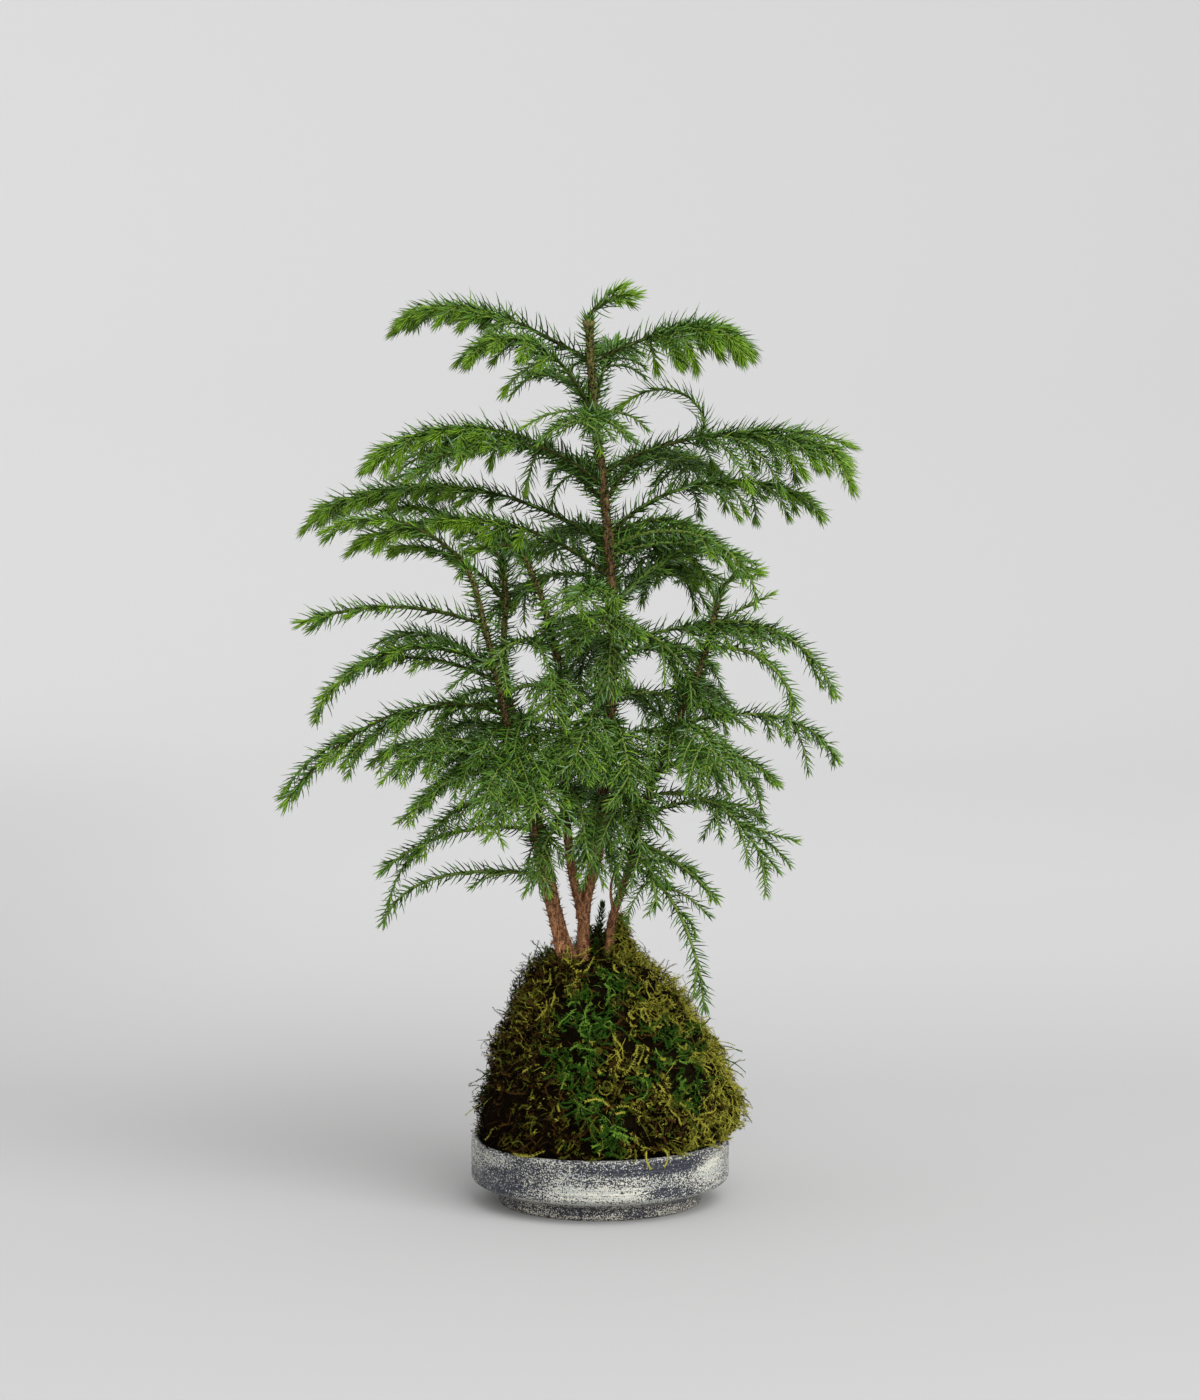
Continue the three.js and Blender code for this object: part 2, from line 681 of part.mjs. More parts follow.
// ---------------------------------------------------------------- assembly

const group = new THREE.Group();

function add(name, geometry, material) {
  const mesh = new THREE.Mesh(geometry, material);
  mesh.name = name;
  group.add(mesh);
}

add('dish', dish(), MATERIALS.dish);
add('root_ball', rootBall(), MATERIALS.ball);

for (const name of Object.keys(STEMS)) {
  const node = name === 'trunk' ? 'trunk' : `stem_${name}`;
  add(node, stemSolid(name), MATERIALS.bark);
  STEM_LINES[name].slice(1).forEach((to, index) => {
    const from = STEM_LINES[name][index];
    place({ owner: node, from, to, radius: stemRadius(name, from.z) });
  });
}

for (const branch of BRANCHES.filter((row) => row.bare > 0)) {
  const node = `bough_${branch.name}`;
  add(node, boughSolid(branch), MATERIALS.bough);
  const line = branchLine(branch);
  const spots = stations(0, boughLength(branch), BOUGH.step).map((s) => at(line, s).point);
  spots.slice(1).forEach((to, index) => {
    place({ owner: node, from: spots[index], to, radius: BOUGH.foot });
  });
}

const masses = BRANCHES.map(claimTwigs);
BRANCHES.forEach((branch, index) => claimSprigs(branch, masses[index]));
for (const mass of masses) add(mass.owner, foliageSolid(mass), MATERIALS.foliage);

export default group;
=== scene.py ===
"""Looks of a young Norfolk Island pine that grows from a moss-covered root ball in a shallow dish.

Shapes are worked out in millimetres, with the origin at the centre of the dish's flat underside and
+Z up, and are turned to metres when a mesh is made. The stems and the centre line of every branch
follow the same rule as the solids that they replace. Sprigs grow on from that rule along both sides of
each branch, and stems, branches and sprigs carry curved needles of five ages.
"""

import logging
import math
from dataclasses import astuple, dataclass, field, replace
from enum import Enum

import bpy
import numpy as np
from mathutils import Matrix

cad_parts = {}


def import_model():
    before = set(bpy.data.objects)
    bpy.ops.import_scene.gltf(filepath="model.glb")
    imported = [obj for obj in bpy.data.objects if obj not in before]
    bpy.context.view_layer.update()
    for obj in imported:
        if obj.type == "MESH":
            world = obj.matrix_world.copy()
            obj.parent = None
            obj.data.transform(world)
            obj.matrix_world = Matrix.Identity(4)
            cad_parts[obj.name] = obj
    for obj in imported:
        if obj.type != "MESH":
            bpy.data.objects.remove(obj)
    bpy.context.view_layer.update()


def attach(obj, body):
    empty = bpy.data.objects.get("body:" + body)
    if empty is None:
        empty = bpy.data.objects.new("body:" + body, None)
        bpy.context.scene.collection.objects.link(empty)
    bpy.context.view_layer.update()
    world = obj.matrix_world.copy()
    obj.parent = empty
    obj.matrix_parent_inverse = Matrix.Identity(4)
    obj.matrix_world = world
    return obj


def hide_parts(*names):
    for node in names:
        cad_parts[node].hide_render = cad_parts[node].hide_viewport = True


log = logging.getLogger("norfolk_island_pine")

Array = np.ndarray
Material = bpy.types.Material
Tree = bpy.types.NodeTree
Node = bpy.types.Node
Socket = bpy.types.NodeSocket
Point = tuple[float, float, float]
Span = tuple[float, float]

MM = 0.001
BODY = "root"
GOLDEN_ANGLE = 137.5


# ---------------- colours and nodes


def linear(colour: str) -> tuple[float, float, float, float]:
    """Turn an sRGB hex colour into the linear RGBA that a shader takes.

    Each channel up to 0.04045 is divided by 12.92. Above that it is ((c + 0.055) / 1.055) ** 2.4.

    Args:
        colour: Six hex digits, with or without a leading #.

    Returns:
        Red, green, blue and an alpha of one.
    """
    digits = colour.lstrip("#")
    channels = [int(digits[place:place + 2], 16) / 255 for place in (0, 2, 4)]
    parts = [c / 12.92 if c <= 0.04045 else ((c + 0.055) / 1.055) ** 2.4 for c in channels]
    return parts[0], parts[1], parts[2], 1.0


def fill_inputs(tree: Tree, node: Node, inputs: dict) -> None:
    """Fill or link a node's inputs.

    Args:
        tree: The node tree that it is in.
        node: The node.
        inputs: A value or an output socket for each input, by its name or place.
    """
    for key, value in inputs.items():
        if isinstance(value, Socket):
            tree.links.new(value, node.inputs[key])
        else:
            node.inputs[key].default_value = value


def add_node(tree: Tree, kind: str, inputs: dict | None = None, **settings) -> Node:
    """Add a shader node with its settings, and fill or link its inputs.

    Args:
        tree: The material's node tree.
        kind: The node's type, without the ShaderNode that it starts with.
        inputs: A value or an output socket for each input, by its name or place.
        **settings: The node's own settings.

    Returns:
        The new node.
    """
    node = tree.nodes.new("ShaderNode" + kind)
    for name, value in settings.items():
        setattr(node, name, value)
    fill_inputs(tree, node, inputs or {})
    return node


def new_material(name: str) -> tuple[Material, Tree, Node]:
    """Start a material.

    Args:
        name: The material's name.

    Returns:
        The material, its node tree and its Principled shader.
    """
    material = bpy.data.materials.new(name)
    material.use_nodes = True
    tree = material.node_tree
    return material, tree, tree.nodes["Principled BSDF"]


def set_ramp(node: Node, stops: tuple[tuple[float, str], ...]) -> Node:
    """Give a Color Ramp node its stops.

    Args:
        node: The Color Ramp node.
        stops: Places from 0 to 1 in rising order, each with its hex colour.

    Returns:
        The same node.
    """
    elements = node.color_ramp.elements
    while len(elements) < len(stops):
        elements.new(0.5)
    for element, (place, colour) in zip(elements, stops):
        element.position = place
        element.color = linear(colour)
    return node


def soft_spot(tree: Tree, place: Socket, middle: Point, halves: Point,
              heart: float, edge: float) -> Socket:
    """Add a soft spot: one value at its heart, which changes smoothly to another at its half sizes.

    Args:
        tree: The material's node tree.
        place: The Object coordinates.
        middle: The spot's middle, in mm.
        halves: Its half sizes in mm, infinite along an axis that it never ends on.
        heart: The value within a quarter of the half sizes.
        edge: The value from the half sizes outwards.

    Returns:
        The value.
    """
    scale = [1 / (half * MM) for half in halves]
    moved = add_node(
        tree, "Mapping",
        {"Vector": place, "Scale": scale,
         "Location": [-part * MM * size for part, size in zip(middle, scale)]},
    )
    far = add_node(tree, "VectorMath", {0: moved.outputs[0]}, operation="LENGTH")
    ends = {"From Min": 0.25, "From Max": 1.0, "To Min": heart, "To Max": edge}
    return add_node(
        tree, "MapRange", {"Value": far.outputs["Value"], **ends}, interpolation_type="SMOOTHSTEP",
    ).outputs[0]


# ---------------- finishes


@dataclass(frozen=True)
class LivingFinish:
    """A plant tissue in one plain colour: waxy needles, green shoots or dried moss strands.

    The colour of a spray is told by which piece it is in, so the base colour stays plain. Young tissue
    lets a little light through.
    """

    name: str
    colour: str
    roughness: float
    specular: float
    translucence: float = 0.0

    def build(self) -> Material:
        """Make the material."""
        material, tree, shader = new_material(self.name)
        fill_inputs(tree, shader, {
            "Base Color": linear(self.colour), "Roughness": self.roughness,
            "Specular IOR Level": self.specular,
        })
        if self.translucence > 0:
            fill_inputs(tree, shader, {
                "Subsurface Weight": self.translucence, "Subsurface Radius": (0.6, 1.0, 0.25),
                "Subsurface Scale": 0.6 * MM,
            })
        return material


@dataclass(frozen=True)
class BarkFinish:
    """Young conifer bark: thin, dry and scaly, red-brown and flaking low down, olive higher up.

    Each band has the heights in mm between which it comes in over the one below, and a dark and a
    light colour. Flakes are 1.6 mm wide and stretched upwards, and flecks and relief are 0.45 mm.
    """

    name: str
    bands: tuple[tuple[float, float, str, str], ...]
    flake: float = 1.6
    stretch: float = 0.4
    fleck: float = 0.45
    relief: float = 0.45

    def build(self) -> Material:
        """Make the material: flakes stretched along the stem, and a colour that changes with height."""
        material, tree, shader = new_material(self.name)
        place = add_node(tree, "TexCoord").outputs["Object"]
        stretched = add_node(
            tree, "Mapping",
            {"Vector": place, "Scale": [share / (self.flake * MM) for share in (1.0, 1.0, self.stretch)]},
        )
        flakes = add_node(
            tree, "TexNoise",
            {"Vector": stretched.outputs[0], "Scale": 1.0, "Detail": 5.0, "Roughness": 0.62},
        )
        flecks = add_node(
            tree, "TexNoise",
            {"Vector": place, "Scale": 1 / (self.fleck * MM), "Detail": 2.0, "Roughness": 0.5},
        )
        spread = add_node(tree, "Math", {0: flakes.outputs[0], 1: flecks.outputs[0]}, operation="ADD")
        share = add_node(
            tree, "MapRange", {"Value": spread.outputs[0], "From Min": 0.84, "From Max": 1.2},
        )
        height = add_node(tree, "SeparateXYZ", {0: place}).outputs["Z"]
        colour = None
        for low, high, dark, light in self.bands:
            band = set_ramp(
                add_node(tree, "ValToRGB", {"Fac": share.outputs[0]}), ((0.0, dark), (1.0, light)),
            ).outputs[0]
            if colour is None:
                colour = band
                continue
            change = add_node(
                tree, "MapRange", {"Value": height, "From Min": low * MM, "From Max": high * MM},
            )
            colour = add_node(
                tree, "Mix", {0: change.outputs[0], 6: colour, 7: band}, data_type="RGBA",
            ).outputs[2]
        bump = add_node(
            tree, "Bump", {"Height": spread.outputs[0], "Strength": 0.9, "Distance": self.relief * MM},
        )
        fill_inputs(tree, shader, {
            "Base Color": colour, "Normal": bump.outputs[0], "Roughness": 0.82, "Specular IOR Level": 0.3,
        })
        return material


@dataclass(frozen=True)
class HumusFinish:
    """The dark packed moss and soil under the loose strands: matt, damp, brown to deep olive, and
    near black where it paints the shade in the gaps.
    """

    name: str
    dark: str
    mid: str
    light: str
    tangle: float = 1.4
    relief: float = 1.2

    def build(self) -> Material:
        """Make the material: a tangle a strand wide, drawn over patches of brown and olive."""
        material, tree, shader = new_material(self.name)
        place = add_node(tree, "TexCoord").outputs["Object"]
        tangle = add_node(
            tree, "TexNoise",
            {"Vector": place, "Scale": 1 / (self.tangle * MM), "Detail": 4.0, "Roughness": 0.65,
             "Distortion": 1.6},
        )
        ramp = set_ramp(
            add_node(tree, "ValToRGB", {"Fac": tangle.outputs[0]}),
            ((0.36, self.dark), (0.55, self.mid), (0.72, self.light)),
        )
        bump = add_node(
            tree, "Bump", {"Height": tangle.outputs[0], "Strength": 0.9, "Distance": self.relief * MM},
        )
        fill_inputs(tree, shader, {
            "Base Color": ramp.outputs[0], "Normal": bump.outputs[0], "Roughness": 0.95,
            "Specular IOR Level": 0.04,
        })
        return material


@dataclass(frozen=True)
class BrushAndShadePatch:
    """Where the brush left the glaze thick or thin, and on the dish's left side also painted shade: its
    middle and half sizes in mm, and by how much.
    """

    middle: Point
    half_round: float
    half_high: float
    strength: float

    def thickness(self, tree: Tree, place: Socket) -> Socket:
        """Add the patch: its strength at its middle, falling to nothing at its half sizes."""
        halves = (self.half_round, self.half_round, self.half_high)
        return soft_spot(tree, place, self.middle, halves, self.strength, 0.0)


@dataclass(frozen=True)
class GlazeFinish:
    """Stoneware in a broken glaze: slate blue dragged and speckled over ivory, satin to the light.

    The slate breaks up in streaks that run round the dish as the brush did, and in specks about
    0.7 mm across, larger than life so that they show. It lies thick in a band under the rim, and thin
    on the sandy foot. More slate over the dish's left side is partly painted shade, on the side away
    from the key. Broken is the sum of noises where the slate starts to lie and where it closes.
    """

    name: str = "broken_glaze_stoneware"
    black: str = "#111217"
    slate: str = "#272a3a"
    ivory: str = "#c9c7b9"
    celadon: str = "#a4a9a5"
    sand: str = "#c4c0b0"
    streak_round: float = 24.0
    streak_high: float = 1.0
    patch_round: float = 36.0
    patch_high: float = 12.0
    speck: float = 0.72
    foot_top: float = 9.0
    foot_blend: float = 0.6
    broken: Span = (2.34, 2.43)
    relief: float = 0.15
    brushed_and_painted_shade: tuple[BrushAndShadePatch, ...] = (
        BrushAndShadePatch((0.0, -70.0, 18.0), 34.0, 6.5, -0.25),
        BrushAndShadePatch((62.0, -38.0, 24.0), 24.0, 10.0, -0.32),
        BrushAndShadePatch((34.0, -60.0, 17.0), 18.0, 4.5, 0.20),
        BrushAndShadePatch((20.0, -66.0, 30.5), 56.0, 6.2, 0.3),
        # Partly darker glaze and partly painted shade: more slate over the dish's left side, away from
        # the key.
        BrushAndShadePatch((-58.0, -44.0, 22.0), 46.0, 22.0, 0.22),
        BrushAndShadePatch((0.0, 0.0, 11.6), 140.0, 1.8, -0.2),
        # More slate over the whole foot ring, which makes it darker than the wall above.
        BrushAndShadePatch((0.0, 0.0, 5.0), 140.0, 6.5, 0.16),
        BrushAndShadePatch((-30.0, 62.0, 20.0), 30.0, 5.0, -0.28),
        BrushAndShadePatch((40.0, 56.0, 28.0), 30.0, 5.0, 0.26),
    )

    def noise(self, tree: Tree, place: Socket, round_size: float,
              high_size: float, detail: float, seed: float) -> Socket:
        """Add a noise whose features have one size round the dish and another up its wall.

        Args:
            tree: The material's node tree.
            place: The Object coordinates.
            round_size: Feature size round the dish, in mm.
            high_size: Feature size up the wall, in mm.
            detail: Octaves of the noise.
            seed: Place of the noise along its fourth axis.

        Returns:
            The noise's value.
        """
        scaled = add_node(
            tree, "Mapping",
            {"Vector": place,
             "Scale": (1 / (round_size * MM), 1 / (round_size * MM), 1 / (high_size * MM))},
        )
        made = add_node(
            tree, "TexNoise",
            {"Vector": scaled.outputs[0], "W": seed, "Scale": 1.0, "Detail": detail, "Roughness": 0.6},
            noise_dimensions="4D",
        )
        return made.outputs[0]

    def sum_of(self, tree: Tree, first: Socket, parts: list[tuple[Socket, float]]) -> Socket:
        """Add weighted values to a first one.

        Args:
            tree: The material's node tree.
            first: The first value.
            parts: The others, each with its weight.

        Returns:
            The sum.
        """
        total = first
        for part, weight in parts:
            total = add_node(
                tree, "Math", {0: part, 1: weight, 2: total}, operation="MULTIPLY_ADD",
            ).outputs[0]
        return total

    def build(self) -> Material:
        """Make the material: brush patches and streaks lay the slate, one patch partly painted shade, and
        specks break its edge.
        """
        material, tree, shader = new_material(self.name)
        place = add_node(tree, "TexCoord").outputs["Object"]
        height = add_node(tree, "SeparateXYZ", {0: place}).outputs["Z"]
        streaks = self.noise(tree, place, self.streak_round, self.streak_high, 3.0, 2.0)
        patches = self.noise(tree, place, self.patch_round, self.patch_high, 2.0, 7.3)
        specks = self.noise(tree, place, self.speck, self.speck, 1.0, 1.0)
        blots = self.noise(tree, place, 2.6 * self.speck, 1.5 * self.speck, 2.0, 4.0)
        brushed_and_painted_shade = [(patch.thickness(tree, place), 1.0) for patch in self.brushed_and_painted_shade]
        cover = self.sum_of(tree, patches, [(streaks, 0.6), *brushed_and_painted_shade])
        grain = self.sum_of(tree, specks, [(specks, 0.8), (blots, 0.8)])
        broken = self.sum_of(tree, cover, [(grain, 1.25)])
        share = add_node(
            tree, "MapRange", {"Value": broken, "From Min": self.broken[0], "From Max": self.broken[1]},
        ).outputs[0]
        ground = set_ramp(
            add_node(tree, "ValToRGB", {"Fac": streaks}), ((0.36, self.celadon), (0.56, self.ivory)),
        )
        glaze = set_ramp(
            add_node(tree, "ValToRGB", {"Fac": blots}), ((0.44, self.slate), (0.66, self.black)),
        )
        footing = add_node(
            tree, "MapRange",
            {"Value": height, "From Min": (self.foot_top + self.foot_blend) * MM,
             "From Max": (self.foot_top - self.foot_blend) * MM},
        ).outputs[0]
        base = add_node(
            tree, "Mix", {0: footing, 6: ground.outputs[0], 7: linear(self.sand)}, data_type="RGBA",
        )
        colour = add_node(
            tree, "Mix", {0: share, 6: base.outputs[2], 7: glaze.outputs[0]}, data_type="RGBA",
        )
        bump = add_node(tree, "Bump", {"Height": grain, "Strength": 0.3, "Distance": self.relief * MM})
        gloss = add_node(tree, "MapRange", {"Value": share, "To Min": 0.34, "To Max": 0.5})
        fill_inputs(tree, shader, {
            "Base Color": colour.outputs[2], "Normal": bump.outputs[0], "Roughness": gloss.outputs[0],
        })
        return material


@dataclass(frozen=True)
class StudioFinish:
    """Matt seamless paper whose grey carries painted light: darker underfoot and paler behind, to even
    out the key that lights the floor more than the wall, and paler towards the left and darker towards
    the right, against the key that lights the right side more.

    The tones are the distances in mm behind the dish's middle at which each grey is reached. The shade is
    a painted shadow: a soft darker patch on the left paper, where the plant's shadow falls.
    """

    name: str = "seamless_paper"
    # Painted light: the greys darken underfoot and pale behind, evening out the key that lights the floor
    # more.
    tones: tuple[tuple[float, str], ...] = (
        (300, "#b9b9b9"), (790, "#c7c7c7"), (1190, "#cdcdcd"), (1900, "#d2d2d2"), (2800, "#c9c9c9"),
    )
    side_reach: float = 900.0
    # Painted light: paler to the left and darker to the right, against the key that lights the right side
    # more.
    left: float = 1.06
    right: float = 0.92
    # Painted shadow: a soft darker patch on the left paper, where the plant's shadow falls.
    shade_middle: Span = (-620.0, 1000.0)
    shade_half: Span = (430.0, 1300.0)
    shade: float = 0.9

    def build(self) -> Material:
        """Make the material, with painted light in a colour that changes evenly from front to back and
        side to side, and a painted shadow patch on the left.
        """
        material, tree, shader = new_material(self.name)
        place = add_node(tree, "TexCoord").outputs["Object"]
        parts = add_node(tree, "SeparateXYZ", {0: place}).outputs
        low, high = self.tones[0][0], self.tones[-1][0]
        share = add_node(
            tree, "MapRange", {"Value": parts["Y"], "From Min": low * MM, "From Max": high * MM},
        )
        side = add_node(
            tree, "MapRange",
            {"Value": parts["X"], "From Min": -self.side_reach * MM, "From Max": self.side_reach * MM,
             "To Min": self.left, "To Max": self.right},
        )
        middle, halves = (*self.shade_middle, 0.0), (*self.shade_half, math.inf)
        # The painted shadow patch, and then the painted light of the side tone.
        shade = soft_spot(tree, place, middle, halves, self.shade, 1.0)
        light = add_node(tree, "Math", {0: side.outputs[0], 1: shade}, operation="MULTIPLY")
        paper = set_ramp(
            add_node(tree, "ValToRGB", {"Fac": share.outputs[0]}),
            tuple(((depth - low) / (high - low), grey) for depth, grey in self.tones),
        )
        toned = add_node(
            tree, "VectorMath", {0: paper.outputs[0], "Scale": light.outputs[0]}, operation="SCALE",
        )
        fill_inputs(tree, shader, {
            "Base Color": toned.outputs[0], "Roughness": 0.9, "Specular IOR Level": 0.1,
        })
        return material


# ---------------- meshes


@dataclass(frozen=True)
class Shell:
    """A closed mesh in the making: points in millimetres, four-sided faces and three-sided faces."""

    points: Array
    quads: Array
    triangles: Array

    @staticmethod
    def joined(shells: list["Shell"]) -> "Shell":
        """Join shells into one, with the faces of each numbered on from the last."""
        sizes = [len(shell.points) for shell in shells]
        starts = np.concatenate([[0], np.cumsum(sizes)[:-1]]).astype(np.int64)
        return Shell(
            np.concatenate([shell.points for shell in shells]),
            np.concatenate([shell.quads + start for shell, start in zip(shells, starts)]),
            np.concatenate([shell.triangles + start for shell, start in zip(shells, starts)]),
        )

    def count(self) -> int:
        """Count the triangles that the faces make."""
        return 2 * len(self.quads) + len(self.triangles)


def tubes(rings: Array, starts: Array, ends: Array) -> Shell:
    """Close many tubes at once.

    Corner j of ring i joins corner j + 1 of the same ring and the two above them, and a fan to one
    point closes each end. A ring runs anticlockwise as seen from the tube's end.

    Args:
        rings: Points by tube, ring and corner.
        starts: The point that closes each tube's first ring.
        ends: The point that closes each tube's last ring.

    Returns:
        One shell with all the tubes.
    """
    count, length, sides = rings.shape[:3]
    points = np.concatenate([rings.reshape(count, -1, 3), starts[:, None], ends[:, None]], axis=1)
    ring, corner = np.meshgrid(np.arange(length - 1), np.arange(sides), indexing="ij")
    here = ring * sides + corner
    beside = ring * sides + (corner + 1) % sides
    quads = np.stack([here, beside, beside + sides, here + sides], axis=-1).reshape(-1, 4)
    side = np.arange(sides)
    after = (side + 1) % sides
    last = (length - 1) * sides
    start_fan = np.stack([np.full(sides, length * sides), after, side], axis=-1)
    end_fan = np.stack([np.full(sides, length * sides + 1), side + last, after + last], axis=-1)
    shift = (np.arange(count) * (length * sides + 2))[:, None, None]
    fans = np.concatenate([start_fan, end_fan])
    return Shell(
        points.reshape(-1, 3), (quads[None] + shift).reshape(-1, 4), (fans[None] + shift).reshape(-1, 3),
    )


def unit(vectors: Array) -> Array:
    """Scale vectors to a length of one, along their last axis."""
    return vectors / np.maximum(np.linalg.norm(vectors, axis=-1, keepdims=True), 1e-9)


def level_ways(angle: Array) -> Array:
    """Give the level unit directions at angles, counted anticlockwise from +X."""
    return np.stack([np.cos(angle), np.sin(angle), np.zeros_like(angle)], axis=-1)


def frames(tangents: Array, side: Array) -> tuple[Array, Array]:
    """Find two directions square to each tangent.

    The first is the side direction less its share along the tangent. The second is the tangent
    crossed with the first.

    Args:
        tangents: Unit directions along paths.
        side: A direction, or one for each tangent, that no tangent is parallel to.

    Returns:
        The two directions, with the shape of the tangents.
    """
    side = np.broadcast_to(side, tangents.shape)
    first = unit(side - tangents * np.sum(side * tangents, axis=-1, keepdims=True))
    return first, np.cross(tangents, first)


def swept(points: Array, tangents: Array, side: Array, radii: Array, sides: int) -> Shell:
    """Carry a round section along many paths at once.

    Corner j lies at the path's point plus the radius times cos a of the first square direction and
    sin a of the second, with a = 2 pi j / sides. A tube's ends are closed at the path's own ends.

    Args:
        points: Path points by tube and station.
        tangents: Unit directions by tube and station.
        side: A direction for each tube that its path never runs along.
        radii: Radius by tube and station.
        sides: Corners of the section.

    Returns:
        One shell with all the tubes.
    """
    first, second = frames(tangents, side[:, None])
    angle = 2 * np.pi * np.arange(sides) / sides
    spoke = np.cos(angle)[:, None] * first[:, :, None] + np.sin(angle)[:, None] * second[:, :, None]
    rings = points[:, :, None] + radii[:, :, None, None] * spoke
    return tubes(rings, points[:, 0], points[:, -1])


def turned(profile: Array, sides: int) -> Shell:
    """Turn a profile that starts and ends on the axis once round it.

    Point j of ring i lies at radius r of profile point i, turned by a = 2 pi j / sides.

    Args:
        profile: Radius and height of each profile point, from the bottom axis point round to the top.
        sides: Points round each ring.

    Returns:
        The closed shell.
    """
    angle = 2 * np.pi * np.arange(sides) / sides
    inner = profile[1:-1]
    rings = inner[:, 0, None, None] * level_ways(angle) + np.array([0, 0, 1]) * inner[:, 1, None, None]
    start = np.array([[0, 0, profile[0, 1]]], float)
    end = np.array([[0, 0, profile[-1, 1]]], float)
    return tubes(rings[None], start, end)


def make_object(name: str, shell: Shell, material: Material) -> bpy.types.Object:
    """Turn a shell into an object at the origin, in metres.

    Args:
        name: The object's name.
        shell: Its shape, in millimetres.
        material: Its material.

    Returns:
        The object, linked to the scene, with its faces shaded smooth.
    """
    mesh = bpy.data.meshes.new(name)
    corners = np.concatenate([shell.quads.ravel(), shell.triangles.ravel()]).astype(np.int32)
    sizes = np.concatenate([np.full(len(shell.quads), 4), np.full(len(shell.triangles), 3)])
    starts = (np.cumsum(sizes) - sizes).astype(np.int32)
    mesh.vertices.add(len(shell.points))
    mesh.vertices.foreach_set("co", (shell.points * MM).astype(np.float32).ravel())
    mesh.loops.add(len(corners))
    mesh.polygons.add(len(starts))
    mesh.polygons.foreach_set("loop_start", starts)
    mesh.loops.foreach_set("vertex_index", corners)
    mesh.polygons.foreach_set("use_smooth", np.full(len(starts), True))
    mesh.update(calc_edges=True)
    mesh.materials.append(material)
    piece = bpy.data.objects.new(name, mesh)
    bpy.context.scene.collection.objects.link(piece)
    return piece


def add_piece(name: str, shell: Shell, material: Material,
              stands_for: tuple[str, ...] = ()) -> None:
    """Add a piece of the plant or dish, and log it.

    Args:
        name: The piece's name.
        shell: Its shape, in millimetres.
        material: Its material.
        stands_for: The solids that it replaces.
    """
    piece = make_object(name, shell, material)
    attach(piece, BODY)
    if stands_for:
        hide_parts(*stands_for)
    log.info("%s: %d triangles", name, shell.count())


# ---------------- how lines grow

CURVE_STEP = 2.0


def chance(seed: int, draw: int) -> float:
    """Give a number from 0 to 1 that depends only on the seed and the draw.

    Both are mixed in 32-bit arithmetic, as in the solids' rule.

    Args:
        seed: The branch's seed.
        draw: Which of its draws.

    Returns:
        The number.
    """
    full = 0xFFFFFFFF
    mix = (seed * 374761393 + draw * 668265263 + 1013904223) & full
    mix = ((mix ^ (mix >> 13)) * 1274126177) & full
    return ((mix ^ (mix >> 16)) & full) / 4294967296


@dataclass(frozen=True)
class Course:
    """How a branch or sprig grows: plan heading and how far it turns, slope at foot and tip with how
    late it changes, and length. Angles are in degrees."""

    heading: float
    turn: float
    rise: float
    fall: float
    late: float
    length: float


@dataclass(frozen=True)
class CentreLine:
    """A branch's or sprig's centre line in short equal steps, with its level side direction."""

    points: Array
    length: float
    side: Array

    @classmethod
    def grown(cls, start: Array, course: Course) -> "CentreLine":
        """Grow a line.

        Step i, halfway at s = (i + 0.5) / steps, has the slope rise + (fall - rise) s ** late and
        the heading h + turn s, and the points are the running sum of the steps.

        Args:
            start: Where it starts.
            course: How it grows.

        Returns:
            The line.
        """
        steps = max(3, math.floor(course.length / CURVE_STEP + 0.5))
        along = (np.arange(steps) + 0.5) / steps
        slope = np.radians(course.rise + (course.fall - course.rise) * along ** course.late)
        heading = np.radians(course.heading + course.turn * along)
        moves = np.stack(
            [np.cos(slope) * np.cos(heading), np.cos(slope) * np.sin(heading), np.sin(slope)], axis=1,
        ) * (course.length / steps)
        points = start + np.concatenate([np.zeros((1, 3)), np.cumsum(moves, axis=0)])
        middle = math.radians(course.heading + course.turn / 2)
        return cls(points, course.length, np.array([-math.sin(middle), math.cos(middle), 0.0]))

    def cut(self, length: float) -> "CentreLine":
        """Keep only the line's first length."""
        steps = max(3, int(length / CURVE_STEP))
        return CentreLine(self.at(np.linspace(0, length, steps + 1))[0], length, self.side)

    def at(self, distance: Array) -> tuple[Array, Array]:
        """Find the points and unit directions at distances along the line."""
        steps = len(self.points) - 1
        place = np.asarray(distance, float) / self.length * steps
        index = np.clip(np.floor(place).astype(int), 0, steps - 1)
        moves = np.diff(self.points, axis=0)
        point = self.points[index] + moves[index] * (place - index)[..., None]
        corner = np.concatenate([moves[:1], (moves[1:] + moves[:-1]) / 2, moves[-1:]])
        share = np.clip(place - index, 0, 1)[..., None]
        return point, unit(corner[index] * (1 - share) + corner[index + 1] * share)


# ---------------- needles


class Age(Enum):
    """The ages of needle that the foliage is dealt into."""

    PALE = "pale"
    FRESH = "fresh"
    MATURE = "mature"
    DEEP = "deep"
    BLOOM = "bloom_and_sheen"


# The places of the ages after the first in their order.
FRESH, MATURE, DEEP, BLOOM = range(1, 5)

# Living needles with a waxy skin: a dull sheen all over, yellow-green where they are new, dark where
# they are old, and a grey-green bloom, partly thick wax and partly a painted sheen.
NEEDLE_FINISHES = {
    Age.PALE: LivingFinish("needle_cuticle_pale", "#86a940", 0.45, 0.4, 0.08),
    Age.FRESH: LivingFinish("needle_cuticle_fresh", "#6f9520", 0.42, 0.35, 0.05),
    Age.MATURE: LivingFinish("needle_cuticle_mature", "#527a28", 0.42, 0.35),
    Age.DEEP: LivingFinish("needle_cuticle_deep", "#263f0a", 0.5, 0.15),
    Age.BLOOM: LivingFinish("needle_wax_bloom", "#7c9a70", 0.5, 0.3),
}


